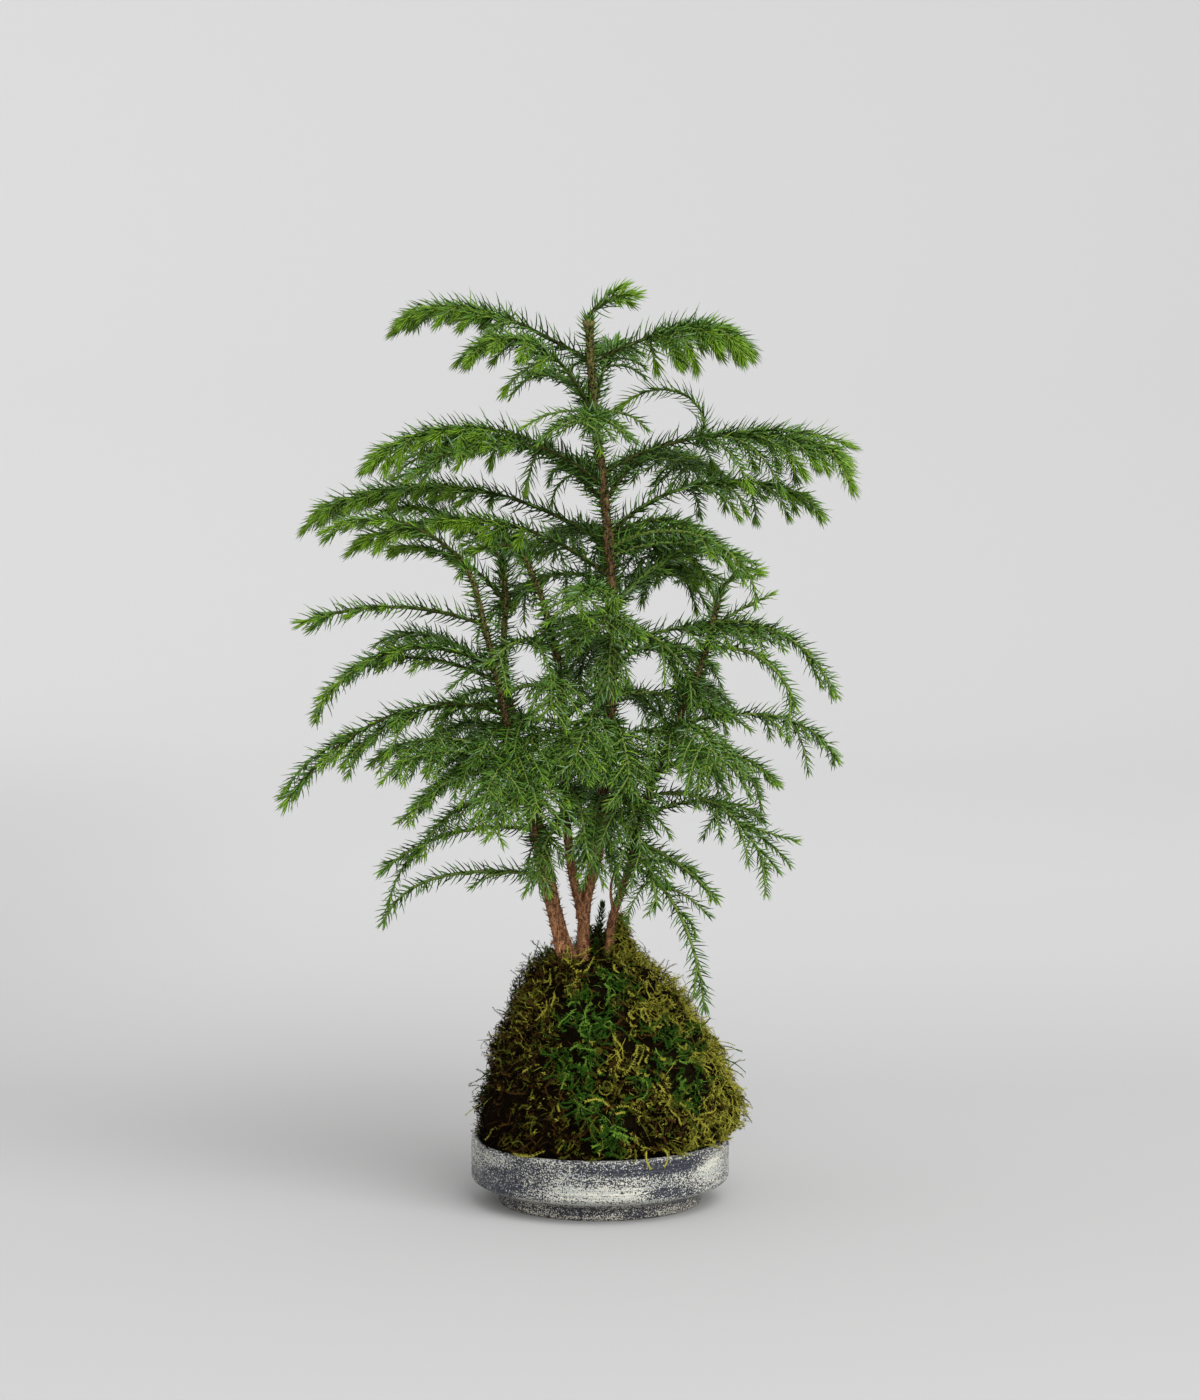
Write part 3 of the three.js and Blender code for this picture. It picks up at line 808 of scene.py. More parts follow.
@dataclass(frozen=True)
class NeedleShape:
    """An awl-shaped needle: three-sided and bent towards the shoot's tip.

    Stations are shares of its length, widths are shares of its width there, and thickness is a share
    of the width. Keel and belly are how far its ridge and its flat side stand from its middle.
    """

    stations: tuple[float, ...]
    widths: tuple[float, ...]
    width: float
    thickness: float = 0.62
    keel: float = 1.3
    belly: float = 0.6

    def shell(self, base: Array, forward: Array, outward: Array, length: Array,
              lean_foot: Array, lean_tip: Array, lift: Array) -> Shell:
        """Make many needles.

        Over each stretch between stations the needle runs at the angle a from the shoot, where a goes
        evenly from the foot's lean to the tip's: its move is cos a forward and sin a outward. The
        lift, times the station squared, bends it upwards. Each section is a flat triangle.

        Args:
            base: Where each needle starts, on its shoot.
            forward: Unit direction along the shoot.
            outward: Unit direction away from the shoot.
            length: Length of each needle.
            lean_foot: Angle from the shoot at the needle's foot, in radians.
            lean_tip: The same at its tip.
            lift: How far its tip is lifted.

        Returns:
            One shell with all the needles.
        """
        spots = np.array([*self.stations, 1.0])
        middle = (spots[1:] + spots[:-1]) / 2
        lean = lean_foot[:, None] + (lean_tip - lean_foot)[:, None] * middle
        moves = (
            np.cos(lean)[..., None] * forward[:, None] + np.sin(lean)[..., None] * outward[:, None]
        ) * (np.diff(spots)[:, None] * length[:, None, None])
        path = base[:, None] + np.concatenate(
            [np.zeros((len(base), 1, 3)), np.cumsum(moves, axis=1)], axis=1,
        )
        path[:, :, 2] += lift[:, None] * spots ** 2
        flat = unit(np.cross(forward, outward))[:, None]
        tangent = unit(np.concatenate([moves, moves[:, -1:]], axis=1))
        thick = np.cross(tangent, np.broadcast_to(flat, tangent.shape))
        half = (np.array(self.widths) * self.width / 2)[None, :, None]
        body, rise = path[:, :-1], thick[:, :-1]
        rings = np.stack(
            [
                body + flat * half - rise * half * self.thickness * self.belly,
                body + rise * half * self.thickness * self.keel,
                body - flat * half - rise * half * self.thickness * self.belly,
            ],
            axis=2,
        )
        return tubes(rings, body[:, 0], path[:, -1])


LONG_NEEDLE = NeedleShape((0.0, 0.3, 0.66), (1.0, 1.0, 0.7), 0.98)
SHORT_NEEDLE = NeedleShape((0.0, 0.5), (1.0, 0.85), 0.8)
STEM_NEEDLE = NeedleShape((0.0, 0.5), (1.3, 0.85), 1.04)
CUSHION = NeedleShape((0.0, 0.5), (0.9, 1.0), 1.4)
SPINE = NeedleShape((0.0, 0.5), (1.0, 0.7), 0.8)


@dataclass(frozen=True)
class Shoot:
    """A line with needles: a stem's top, a branch, a sprig or a finger at a branch's end.

    Distances are in mm. Youth is how far behind the tip the fresh growth reaches. Tight is how far the
    last needles close up against the shoot, comb is how far the needles part to both sides, and pale
    says that the shoot is new all along.
    """

    line: CentreLine
    foot: float
    tip: float
    bare: float
    needle: float
    per_mm: float
    shape: NeedleShape
    youth: float
    tight: float
    comb: float = 0.0
    spread_foot: float = 66.0
    spread_tip: float = 40.0
    pale: bool = False
    rings: int = 9


@dataclass
class NeedleWriter:
    """Puts needles on shoots and deals them out by age.

    Near lists distances in mm behind a shoot's tip. The closings are the shares of their lean that
    needles have there, on tight shoots and on loose ones, and the sizes are shares of their length.
    Wander is in degrees round the shoot, and sway in degrees away from it.
    """

    rng: np.random.Generator
    near: tuple[float, ...] = (0, 4, 9, 15)
    tight_closing: tuple[float, ...] = (0.2, 0.5, 0.8, 1.0)
    loose_closing: tuple[float, ...] = (0.42, 0.74, 0.94, 1.0)
    size_near: tuple[float, ...] = (0, 4, 10)
    tight_size: tuple[float, ...] = (0.8, 0.92, 1.0)
    loose_size: tuple[float, ...] = (0.7, 0.9, 1.0)
    size_spread: Span = (0.82, 1.12)
    lift_spread: Span = (-0.02, 0.13)
    crowd: float = 5.0
    wander: float = 14.0
    sway: float = 7.0
    age_spread: float = 0.55
    shells: dict[Age, list[Shell]] = field(default_factory=lambda: {age: [] for age in Age})

    def ages(self, to_tip: Array, shoot: Shoot) -> Array:
        """Give each needle the number of its age, from its distance behind the shoot's tip.

        Some of the deep ones are then taken back to mature, more of them on loose shoots, and a few of
        the mature ones turn deep, fresh or waxy at random: partly a spread of ages, partly painted shade,
        light and sheen that set dark and bright needles side by side.

        Args:
            to_tip: Distance of each needle from the tip.
            shoot: The shoot.

        Returns:
            Places in the order of ages.
        """
        if shoot.youth < 1:
            return np.full(len(to_tip), DEEP)
        span = to_tip * self.rng.lognormal(0, self.age_spread, len(to_tip))
        if shoot.pale:
            return np.digitize(span, (3.0 * shoot.youth, 4.6 * shoot.youth))
        ages = FRESH + np.digitize(span, (1.4 * max(shoot.youth - 3, 0.01), 4.5 * shoot.youth))
        chances = self.rng.random(len(to_tip))
        ages = np.where((ages == DEEP) & (chances < 0.62 - 0.32 * shoot.tight), MATURE, ages)
        # Partly a spread of ages, partly painted shade, light and sheen: some mature needles go deep,
        # fresh or bloom.
        chances = self.rng.random(len(to_tip))
        dealt = np.digitize(chances, (0.1 - 0.05 * shoot.tight, 0.86, 0.94))
        return np.where(ages == MATURE, np.array([BLOOM, MATURE, DEEP, FRESH])[dealt], ages)

    def clothe(self, shoot: Shoot) -> None:
        """Put needles on a shoot, in a spiral of 137.5 degrees from each to the next.

        The comb takes each one's angle a round the shoot to a - comb sin 2a, which parts them to both
        sides. Towards the tip they stand closer, close up against the shoot and grow shorter.

        Args:
            shoot: The shoot.
        """
        span = shoot.line.length - shoot.bare
        crowd = min(1.0 + self.crowd * shoot.tight, span / 2)
        count = max(6, int((span + crowd) * shoot.per_mm))
        even = (np.arange(count) + self.rng.uniform(-0.35, 0.35, count) + 0.5) / count
        reach = even * (span + crowd)
        open_span = span - crowd
        close_up = open_span + (reach - span + crowd) / 2
        distance = shoot.bare + np.where(reach < open_span, reach, close_up)
        to_tip = shoot.line.length - distance
        point, forward = shoot.line.at(distance)
        first, second = frames(forward, shoot.line.side)
        turn = np.radians(GOLDEN_ANGLE * np.arange(count) + self.rng.normal(0, self.wander, count))
        turn = turn - shoot.comb * np.sin(2 * turn)
        outward = np.cos(turn)[:, None] * first + np.sin(turn)[:, None] * second
        share = distance / shoot.line.length
        radius = shoot.foot + (shoot.tip - shoot.foot) * share
        closing = (
            shoot.tight * np.interp(to_tip, self.near, self.tight_closing)
            + (1 - shoot.tight) * np.interp(to_tip, self.near, self.loose_closing)
        )
        wobble = self.rng.normal(0, self.sway, count)
        lean_foot = np.radians((shoot.spread_foot + wobble) * closing)
        lean_tip = np.radians((shoot.spread_tip + wobble) * closing)
        size = (
            shoot.tight * np.interp(to_tip, self.size_near, self.tight_size)
            + (1 - shoot.tight) * np.interp(to_tip, self.size_near, self.loose_size)
        ) * self.rng.uniform(*self.size_spread, count)
        length = shoot.needle * size
        lift = length * self.rng.uniform(*self.lift_spread, count) * closing
        base = point + outward * (radius * 0.7)[:, None]
        ages = self.ages(to_tip, shoot)
        for number, age in enumerate(Age):
            mine = ages == number
            if mine.any():
                self.shells[age].append(shoot.shape.shell(
                    base[mine], forward[mine], outward[mine], length[mine],
                    lean_foot[mine], lean_tip[mine], lift[mine],
                ))


# ---------------- stems

FOOT = 134.3
STEM_SAMPLES = 8


@dataclass(frozen=True)
class Stem:
    """One stem: its radius at foot and tip and the points that its centre line runs through."""

    name: str
    foot: float
    tip: float
    path: tuple[Point, ...]
    bark_top: float
    bud: float = 0.0
    flare: float = 0.35
    flare_height: float = 6.0
    sides: int = 28
    level_step: float = 0.6
    swelling: float = 0.22
    scar_relief: float = 0.17
    furrow_relief: float = 0.05
    knot_half: float = 2.6

    @property
    def node(self) -> str:
        """The name of the solid that it replaces."""
        return "trunk" if self.name == "trunk" else f"stem_{self.name}"

    @property
    def base(self) -> float:
        """The height of its foot."""
        return self.path[0][2]

    @property
    def top(self) -> float:
        """The height of its top."""
        return self.path[-1][2]

    def curve(self) -> Array:
        """Sample the smooth curve through the path's points.

        Between points b and c the point at t is the cubic with slopes (c - a) / 2 and (d - b) / 2 at
        its ends, where a and d are the points before and after, mirrored at the path's ends.

        Returns:
            The sampled points.
        """
        knots = np.array(self.path, float)
        knots = np.concatenate([[2 * knots[0] - knots[1]], knots, [2 * knots[-1] - knots[-2]]])
        a, b, c, d = (knots[shift:len(knots) - 3 + shift, None] for shift in range(4))
        t = (np.arange(STEM_SAMPLES) / STEM_SAMPLES)[None, :, None]
        slope_b, slope_c = (c - a) / 2, (d - b) / 2
        curve = (
            b + slope_b * t + (3 * (c - b) - 2 * slope_b - slope_c) * t ** 2
            + (2 * (b - c) + slope_b + slope_c) * t ** 3
        )
        return np.concatenate([curve.reshape(-1, 3), knots[-2:-1]])

    def at(self, height: Array) -> Array:
        """Find where the centre line crosses heights, running straight on past its ends."""
        line = self.curve()
        height = np.asarray(height, float)
        inside = np.clip(height, self.base, self.top)
        x = np.interp(inside, line[:, 2], line[:, 0])
        y = np.interp(inside, line[:, 2], line[:, 1])
        return np.stack([x, y, height], axis=-1)

    def radius(self, height: Array) -> Array:
        """Find the radius at heights: an even taper, times 1 + flare exp(-rise / flare height)."""
        rise = np.maximum(np.asarray(height, float) - self.base, 0)
        share = rise / (self.top - self.base)
        flare = 1 + self.flare * np.exp(-rise / self.flare_height)
        return (self.foot + (self.tip - self.foot) * share) * flare

    def bark(self, knots: Array, sink: float) -> Shell:
        """Make the bark's surface.

        The radius at height z and angle a is the stem's, swollen at the branches and at the bud, plus
        leaf scars in crossing spirals, (1 + cos(5a - z / 0.9)) (1 + cos(8a + z / 1.1)) / 4, and
        furrows that wander up the stem. The top closes in a dome.

        Args:
            knots: Heights where branches leave.
            sink: How far the foot reaches down into the moss.

        Returns:
            The closed shell.
        """
        low, dome = self.base - sink, 1.4 * self.tip
        level = np.concatenate([
            np.arange(low, self.top - dome, self.level_step),
            self.top - dome * np.cos(np.linspace(0.1, 1.5, 6)),
        ])
        angle = 2 * np.pi * np.arange(self.sides) / self.sides
        z, a = level[:, None], angle[None]
        swell = self.swelling * np.exp(-(((z[..., None] - knots) / self.knot_half) ** 2)).max(axis=-1)
        scars = (1 + np.cos(5 * a - z / 0.9)) * (1 + np.cos(8 * a + z / 1.1)) / 4
        furrows = np.sin(3 * a + 1.3 * np.sin(z / 7)) + 0.7 * np.sin(7 * a - 1.1 * np.sin(z / 5 + 2))
        bud = self.bud * np.exp(-(((z - self.top + 3.2) / self.knot_half) ** 2))
        relief = 1 + swell + bud + self.scar_relief * scars + self.furrow_relief * furrows
        closing = np.sqrt(np.clip((self.top - z) / dome, 0.004, 1))
        radius = self.radius(z) * relief * closing
        rings = self.at(level)[:, None] + radius[..., None] * level_ways(a)
        return tubes(rings[None], self.at(np.array([low])), self.at(np.array([self.top])))

    def shoot(self, low: float, needle: float, per_mm: float) -> Shoot:
        """Make the needled upper part of the stem into a shoot.

        Args:
            low: Height where its needles begin.
            needle: Their length.
            per_mm: How many stand on each millimetre.

        Returns:
            The shoot.
        """
        points = self.at(np.linspace(low, self.top, max(4, int((self.top - low) / CURVE_STEP))))
        length = float(np.linalg.norm(np.diff(points, axis=0), axis=1).sum())
        line = CentreLine(points, length, np.array([1.0, 0.0, 0.0]))
        radius = self.radius(np.array([low, self.top]))
        return Shoot(
            line, radius[0], radius[1], 0.0, needle, per_mm, STEM_NEEDLE, 3.0, 0.5,
            spread_foot=86.0, spread_tip=66.0,
        )


STEMS = (
    Stem("trunk", 3.1, 1.75, (
        (-9, 0, FOOT), (-8, 0, 162), (-1, 0, 193), (4, 0, 249), (7, 0, 301),
        (6, 0, 338), (2, 0, 386), (-2, 0, 418), (-5, 0, 456), (-6, 0, 478),
    ), 262, 0.9),
    Stem("second", 2.4, 0.9, (
        (-9.5, -0.5, 158), (-15, -4, 180), (-18, -5, 209), (-20, -6, 253),
        (-22, -8, 290), (-29, -10, 322), (-36, -14, 342), (-42, -16, 354),
    ), 225),
    Stem("third", 2.3, 0.9, (
        (-15.5, -7.5, FOOT), (-21.5, -4, 153), (-26, 0, 174), (-32, 6, 203), (-42, 12, 240),
        (-50, 16, 277), (-52, 18, 304), (-51, 20, 326), (-53, 21, 346),
    ), 215),
    Stem("left", 2.4, 0.9, (
        (-20.5, -14.5, FOOT), (-25, -14, 156), (-30, -16, 175), (-35, -19, 203), (-43, -23, 236),
        (-50, -26, 265), (-55, -29, 291), (-61, -31, 315), (-66, -33, 336), (-71, -34, 348),
    ), 215),
    Stem("right", 2.1, 0.8, (
        (5, 0, FOOT), (6, 0, 151), (11, -2, 168), (16, -4, 184), (24, -8, 218),
        (33, -11, 242), (43, -14, 266), (54, -16, 293), (61, -17, 319), (64, -18, 333),
    ), 205),
)


# ---------------- branches


@dataclass(frozen=True)
class Branch:
    """One branch: how high it leaves its stem, its course, the share of it that is a bare bough, its
    pairs of sprigs, their longest reach, the slope that they hang to and its seed. Spray is 0 for a
    sprig on alternate sides of the stations, 1 for both sides and 2 for more between. Last come the
    fingers at its end and how far behind its tips the fresh growth reaches."""

    name: str
    height: float
    heading: float
    turn: float
    rise: float
    fall: float
    late: float
    length: float
    bare: float
    pairs: int
    reach: float
    hang: float
    seed: int
    spray: int
    fingers: int
    youth: float

    @property
    def stem(self) -> str:
        """The name of the stem that it leaves."""
        return self.name.split("_")[0]


BRANCH_ROWS = (
    ("trunk_tip", 478, -11, -4, 47, -3, 0.89, 33.2, 0, 1, 19.6, -35, 647, 1, 0, 8),
    ("trunk_a1", 454.6, -7, -3, 23, -53, 3.85, 85.1, 0, 5, 46.7, -62, 341, 2, 11, 9),
    ("trunk_a2", 454.5, 156, 8, 27, -30, 2.72, 114.4, 0.3, 4, 32.7, -53, 432, 2, 13, 9),
    ("trunk_a3", 424.2, 194, 2, 63, -49, 1.99, 91.2, 0, 3, 41.3, -49, 104, 2, 6, 8),
    ("trunk_a4", 421.1, -91, 1, 24, -41, 1.38, 59.4, 0, 1, 40.9, -43, 300, 0, 3, 3.3),
    ("trunk_a5", 431.3, 73, 13, 47, -11, 1.46, 81.3, 0, 4, 29.7, -46, 743, 2, 2, 4),
    ("trunk_b1", 395, 12, -14, 30, -22, 1.03, 135.4, 0.3, 6, 57.8, -60, 564, 1, 6, 9),
    ("trunk_b2", 361.6, 22, -11, 45, -27, 0.97, 124.7, 0, 4, 45.1, -76, 186, 1, 9, 7),
    ("trunk_b3", 387.4, 197, -9, 41, -38, 1.31, 139.6, 0.3, 6, 29.8, -87, 174, 1, 12, 10),
    ("trunk_b4", 355.9, 164, 6, 32, -27, 1.21, 173.7, 0.3, 5, 32.2, -53, 648, 2, 13, 11),
    ("trunk_b5", 379.7, 59, 8, 39, -33, 1.14, 118.8, 0, 4, 54.4, -49, 111, 2, 6, 6),
    ("trunk_b6", 378.7, 148, -1, 42, -36, 1.39, 129.8, 0, 5, 47.9, -35, 230, 1, 4, 6),
    ("trunk_c1", 354.6, -28, -1, 29, -58, 1.2, 98.8, 0, 4, 31.2, -36, 657, 0, 5, 5),
    ("trunk_c2", 322.1, 28, -8, 46, 4, 1.65, 68.4, 0, 2, 13.9, -35, 903, 2, 5, 4),
    ("trunk_c4", 315, -23, -5, -8, -84, 1.33, 67.4, 0, 2, 29.3, -87, 115, 1, 0, 3),
    ("trunk_c5", 324.2, -108, 0, 30, -36, 1.49, 71.8, 0, 2, 34.9, -49, 548, 2, 3, 3.5),
    ("trunk_c6", 337, 98, 14, 35, -34, 1.2, 138.9, 0, 4, 48.2, -75, 795, 2, 4, 5),
    ("trunk_d2", 268.9, -112, 6, 20, -55, 0.71, 68.4, 0, 3, 35, -55, 425, 2, 2, 3.5),
    ("trunk_d3", 290.6, 61, -11, 21, -36, 1.14, 110.2, 0, 3, 20.8, -84, 696, 2, 4, 4),
    ("trunk_e1", 234.4, -64, 1, -2, -88, 0.99, 65.9, 0, 2, 39.6, -60, 243, 2, 0, 3),
    ("second_tip", 354, 194, 7, 37, -24, 0.5, 30.2, 0, 2, 14.5, 2, 121, 0, 1, 6),
    ("second_a1", 300.6, -131, -4, 28, -56, 1.35, 57.1, 0, 2, 46.2, -54, 289, 1, 0, 4),
    ("second_a2", 256.4, -122, -4, 8, -70, 1.49, 64.3, 0, 4, 39.8, -44, 875, 2, 0, 3.5),
    ("second_a3", 228.4, -72, -5, 1, -79, 0.94, 62.9, 0, 1, 25.1, -84, 425, 2, 0, 3),
    ("third_tip", 346, 177, -5, 47, -20, 1.7, 73.2, 0, 2, 22.8, -25, 347, 1, 4, 7),
    ("third_a1", 327.4, 96, -15, 45, -38, 1.44, 97.6, 0, 3, 34.4, -29, 410, 1, 6, 7),
    ("third_a2", 282.6, 130, 5, 23, -23, 1.99, 109, 0, 2, 26.9, -71, 267, 2, 3, 4.5),
    ("third_a3", 241.5, 117, 6, 22, -57, 1.81, 110, 0, 3, 45.2, -83, 914, 1, 1, 4),
    ("left_tip", 348, 172, 10, 43, -23, 1.39, 77.1, 0, 2, 11.8, -49, 623, 1, 4, 7),
    ("left_a1", 316.3, 188, 0, 21, -23, 1.09, 104, 0, 2, 16.1, -24, 130, 1, 2, 7),
    ("left_a2", 292.3, 182, -8, 33, -70, 1.07, 116.6, 0, 3, 25.5, -47, 130, 2, 0, 6),
    ("left_b1", 266.8, 193, -2, 36, -58, 0.64, 142.4, 0.3, 4, 26.8, -22, 132, 0, 2, 7),
    ("left_b2", 245.2, 182, 0, 22, -38, 1.58, 79, 0, 3, 28.8, -72, 346, 2, 2, 5),
    ("left_b3", 240.4, -104, -4, 17, -59, 1.19, 77.4, 0, 2, 30.1, -83, 134, 2, 2, 4),
    ("left_c1", 223.4, 194, 6, 16, -69, 0.88, 76.6, 0, 3, 27.1, -69, 866, 1, 0, 4),
    ("left_c2", 205, 193, -2, 12, -43, 1.04, 93.1, 0, 2, 15.6, -19, 986, 1, 0, 3.5),
    ("left_c3", 181.2, 195, 1, 5, -81, 2.69, 102, 0, 1, 15.6, -50, 284, 0, 0, 3.5),
    ("right_tip", 333, 28, 4, 39, -45, 2, 32.2, 0, 3, 14.4, -48, 160, 0, 0, 7),
    ("right_a1", 316.6, -4, 1, 6, -79, 1.12, 86.3, 0, 3, 27.3, -52, 266, 0, 1, 5),
    ("right_a2", 301.8, -34, 1, 12, -81, 1.21, 73.5, 0, 2, 37.8, -77, 140, 0, 0, 4.5),
    ("right_b1", 262.6, 11, 7, 8, -73, 2.16, 103.7, 0.3, 4, 27, -85, 224, 1, 0, 4),
    ("right_b2", 245.5, -11, -2, 15, -56, 1.28, 70.7, 0, 3, 23.5, -62, 553, 1, 1, 4),
    ("right_b3", 264.8, 76, 12, 31, -43, 1.15, 105.7, 0, 4, 47, -88, 962, 2, 4, 4),
    ("right_c1", 220.7, -30, 3, 24, -78, 0.95, 95.1, 0, 3, 45.3, -56, 409, 1, 0, 4),
    ("right_c2", 196.9, -34, -4, -10, -41, 0.78, 64.7, 0, 2, 18.2, -75, 534, 0, 0, 3.5),
    ("right_c3", 212.8, 106, 2, 26, -53, 1.53, 107.7, 0, 3, 36.9, -86, 156, 2, 4, 3.5),
    ("right_d1", 182.4, -49, 1, 20, -86, 0.51, 105.4, 0, 2, 23.8, -88, 845, 0, 0, 3),
)

BRANCHES = {row[0]: Branch(*row) for row in BRANCH_ROWS}


# Branches that grow beside a mass's own branch and are part of the mass: the mass, then the values that
# differ from those of its own branch.
MATE_FIELDS = (
    "height", "heading", "turn", "rise", "fall", "late", "length",
    "pairs", "reach", "hang", "seed", "spray", "fingers",
)
MATE_ROWS = (
    ("trunk_a4", 419.2, -98, 2, 30, -21, 0.96, 56.9, 2, 43.4, -53, 801, 2, 1),
    ("trunk_a5", 425.5, 117, 8, 40, -22, 1.42, 79.5, 4, 16.6, 11, 459, 1, 3),
    ("trunk_b2", 353.2, 64, 2, 35, -58, 1.05, 79.3, 4, 62.8, -79, 802, 2, 3),
    ("trunk_b2", 360, 29, 6, 32, -43, 1.01, 75.6, 4, 30.4, -85, 543, 2, 4),
    ("trunk_b4", 338.2, 190, 1, 42, -27, 1.06, 147.4, 6, 29, -50, 407, 2, 6),
    ("trunk_b5", 374.4, 99, 15, 47, -23, 0.98, 98, 4, 36.4, -88, 312, 0, 1),
    ("trunk_b6", 386.7, 208, -15, 45, -42, 1.08, 122.6, 4, 35.2, -24, 230, 1, 2),
    ("trunk_c1", 350.5, 11, 0, 19, -31, 1.38, 73.7, 4, 31.1, -24, 584, 0, 0),
    ("trunk_c4", 310.4, -14, -3, 10, -88, 1.01, 52.3, 2, 19.4, -64, 810, 2, 0),
    ("trunk_c4", 312, -95, -1, -20, -82, 1.18, 46.8, 3, 27.1, -86, 726, 2, 0),
    ("trunk_c5", 321.5, -101, 4, 12, -47, 1.39, 36.2, 3, 40.5, -39, 872, 2, 0),
    ("trunk_c5", 314.5, -138, 6, 35, -59, 1.12, 39, 3, 35.5, -29, 105, 2, 1),
    ("trunk_c5", 302.3, -8, -6, 22, -9, 1.02, 88.1, 4, 50.2, -45, 691, 2, 0),
    ("trunk_c6", 335.6, 137, 15, 17, -49, 1.18, 85.8, 4, 45.7, -79, 617, 1, 3),
    ("trunk_c6", 323, 59, 9, 26, -27, 1.39, 113.6, 5, 35.8, -35, 1117, 1, 2),
    ("trunk_d2", 261.7, -77, -2, 6, -75, 1.15, 67.3, 3, 37.6, -36, 618, 2, 1),
    ("trunk_d2", 258.9, -136, -8, 9, -66, 0.97, 49.8, 4, 33.1, -56, 1118, 2, 0),
    ("trunk_d2", 249.1, -34, -3, 29, -66, 1.45, 74.7, 4, 46.4, -77, 228, 2, 3),
    ("trunk_d3", 295, 101, -2, 25, -58, 1.03, 122.8, 5, 33, -75, 904, 2, 4),
    ("trunk_d3", 274.7, -10, -4, 18, -28, 0.77, 69.1, 5, 20.7, -23, 265, 1, 3),
    ("trunk_e1", 227.3, -63, 2, 25, -58, 0.8, 39.6, 1, 35.3, -75, 520, 2, 0),
    ("trunk_e1", 221.5, -103, 12, -1, -74, 0.96, 58, 2, 28, -79, 154, 2, 0),
    ("trunk_e1", 217.9, 26, -3, 15, -76, 1.6, 38.6, 1, 35.8, -66, 992, 0, 0),
    ("second_a1", 288, -96, 1, 9, -59, 1.31, 52.7, 3, 31.3, -64, 696, 2, 0),
    ("second_a1", 281.4, -163, 1, 9, -44, 1.15, 51.4, 1, 15.4, -76, 784, 2, 0),
    ("second_a2", 255.4, -40, -2, 8, -53, 1.12, 52.8, 4, 38, -36, 598, 2, 0),
    ("second_a2", 261.7, -158, 1, 12, -67, 1.6, 62, 4, 42.6, -44, 870, 2, 0),
    ("second_a3", 214, -29, -1, -11, -88, 0.96, 54.8, 2, 26.5, -51, 139, 2, 0),
    ("second_a3", 210.8, -110, 4, -8, -73, 1.56, 62.9, 3, 23.2, -88, 278, 2, 0),
    ("third_a1", 323.9, 168, 5, 51, -17, 1.41, 76.1, 4, 11.9, -37, 113, 2, 2),
    ("third_a2", 274.7, 129, 7, 13, -62, 0.98, 74.6, 4, 20.4, -67, 972, 0, 2),
    ("third_a2", 258.2, 78, 2, 11, -76, 1.44, 67.1, 3, 21, -41, 306, 0, 0),
    ("third_a3", 238.1, 137, -3, 3, -38, 1.5, 59.5, 3, 32.4, -81, 293, 2, 0),
    ("third_a3", 227.8, 68, 0, 18, -70, 1.29, 137, 6, 41, -67, 594, 2, 0),
    ("left_a2", 285.6, 169, -9, 23, -40, 1.57, 94.3, 4, 20.9, -55, 335, 1, 0),
    ("left_a2", 272.5, 188, -3, 7, -49, 1.28, 88.6, 2, 45, -58, 544, 2, 0),
    ("left_b2", 239.4, 201, 0, 24, -27, 1.37, 72.7, 2, 31.8, -88, 633, 2, 3),
    ("left_b3", 234.1, -80.4, 5, 18, -57, 1.2, 56.8, 3, 34.6, -60, 634, 2, 1),
    ("left_b3", 238.3, -167, -3, 19, -71, 1.37, 58.7, 3, 20.4, -77, 663, 2, 0),
    ("left_c1", 225.1, 260, -7, 27, -51, 0.96, 69.9, 2, 22.9, -75, 990, 2, 0),
    ("left_c1", 233.5, -158, 4, 22, -51, 0.98, 71.6, 3, 26, -61, 125, 2, 0),
    ("right_b2", 234.1, 15, -3, 31, -58, 1.18, 66.2, 3, 40.5, -88, 753, 0, 0),
    ("right_b2", 258.8, -68, 5, 21, -60, 1.23, 61.4, 3, 45, -88, 995, 2, 0),
    ("right_b3", 256.2, 115, 8, 29.6, -36, 1.6, 96, 4, 52, -61, 643, 1, 1),
    ("right_c2", 185.4, 27, 4, 7, -40, 1.37, 44.4, 2, 18.8, -82, 354, 0, 0),
    ("right_c2", 195.6, -72, -3, -1, -85, 1.16, 56.5, 2, 19.5, -83, 5149, 0, 0),
    ("right_c3", 209.7, 124, 0, 14, -80, 1.13, 66, 3, 32, -70, 942, 2, 2),
    ("right_c3", 210.8, 22, 3, 20, -32, 1.29, 72.8, 2, 25.1, -68, 701, 2, 0),
)

MATES = tuple(
    replace(BRANCHES[mass], bare=0, **dict(zip(MATE_FIELDS, values))) for mass, *values in MATE_ROWS
)


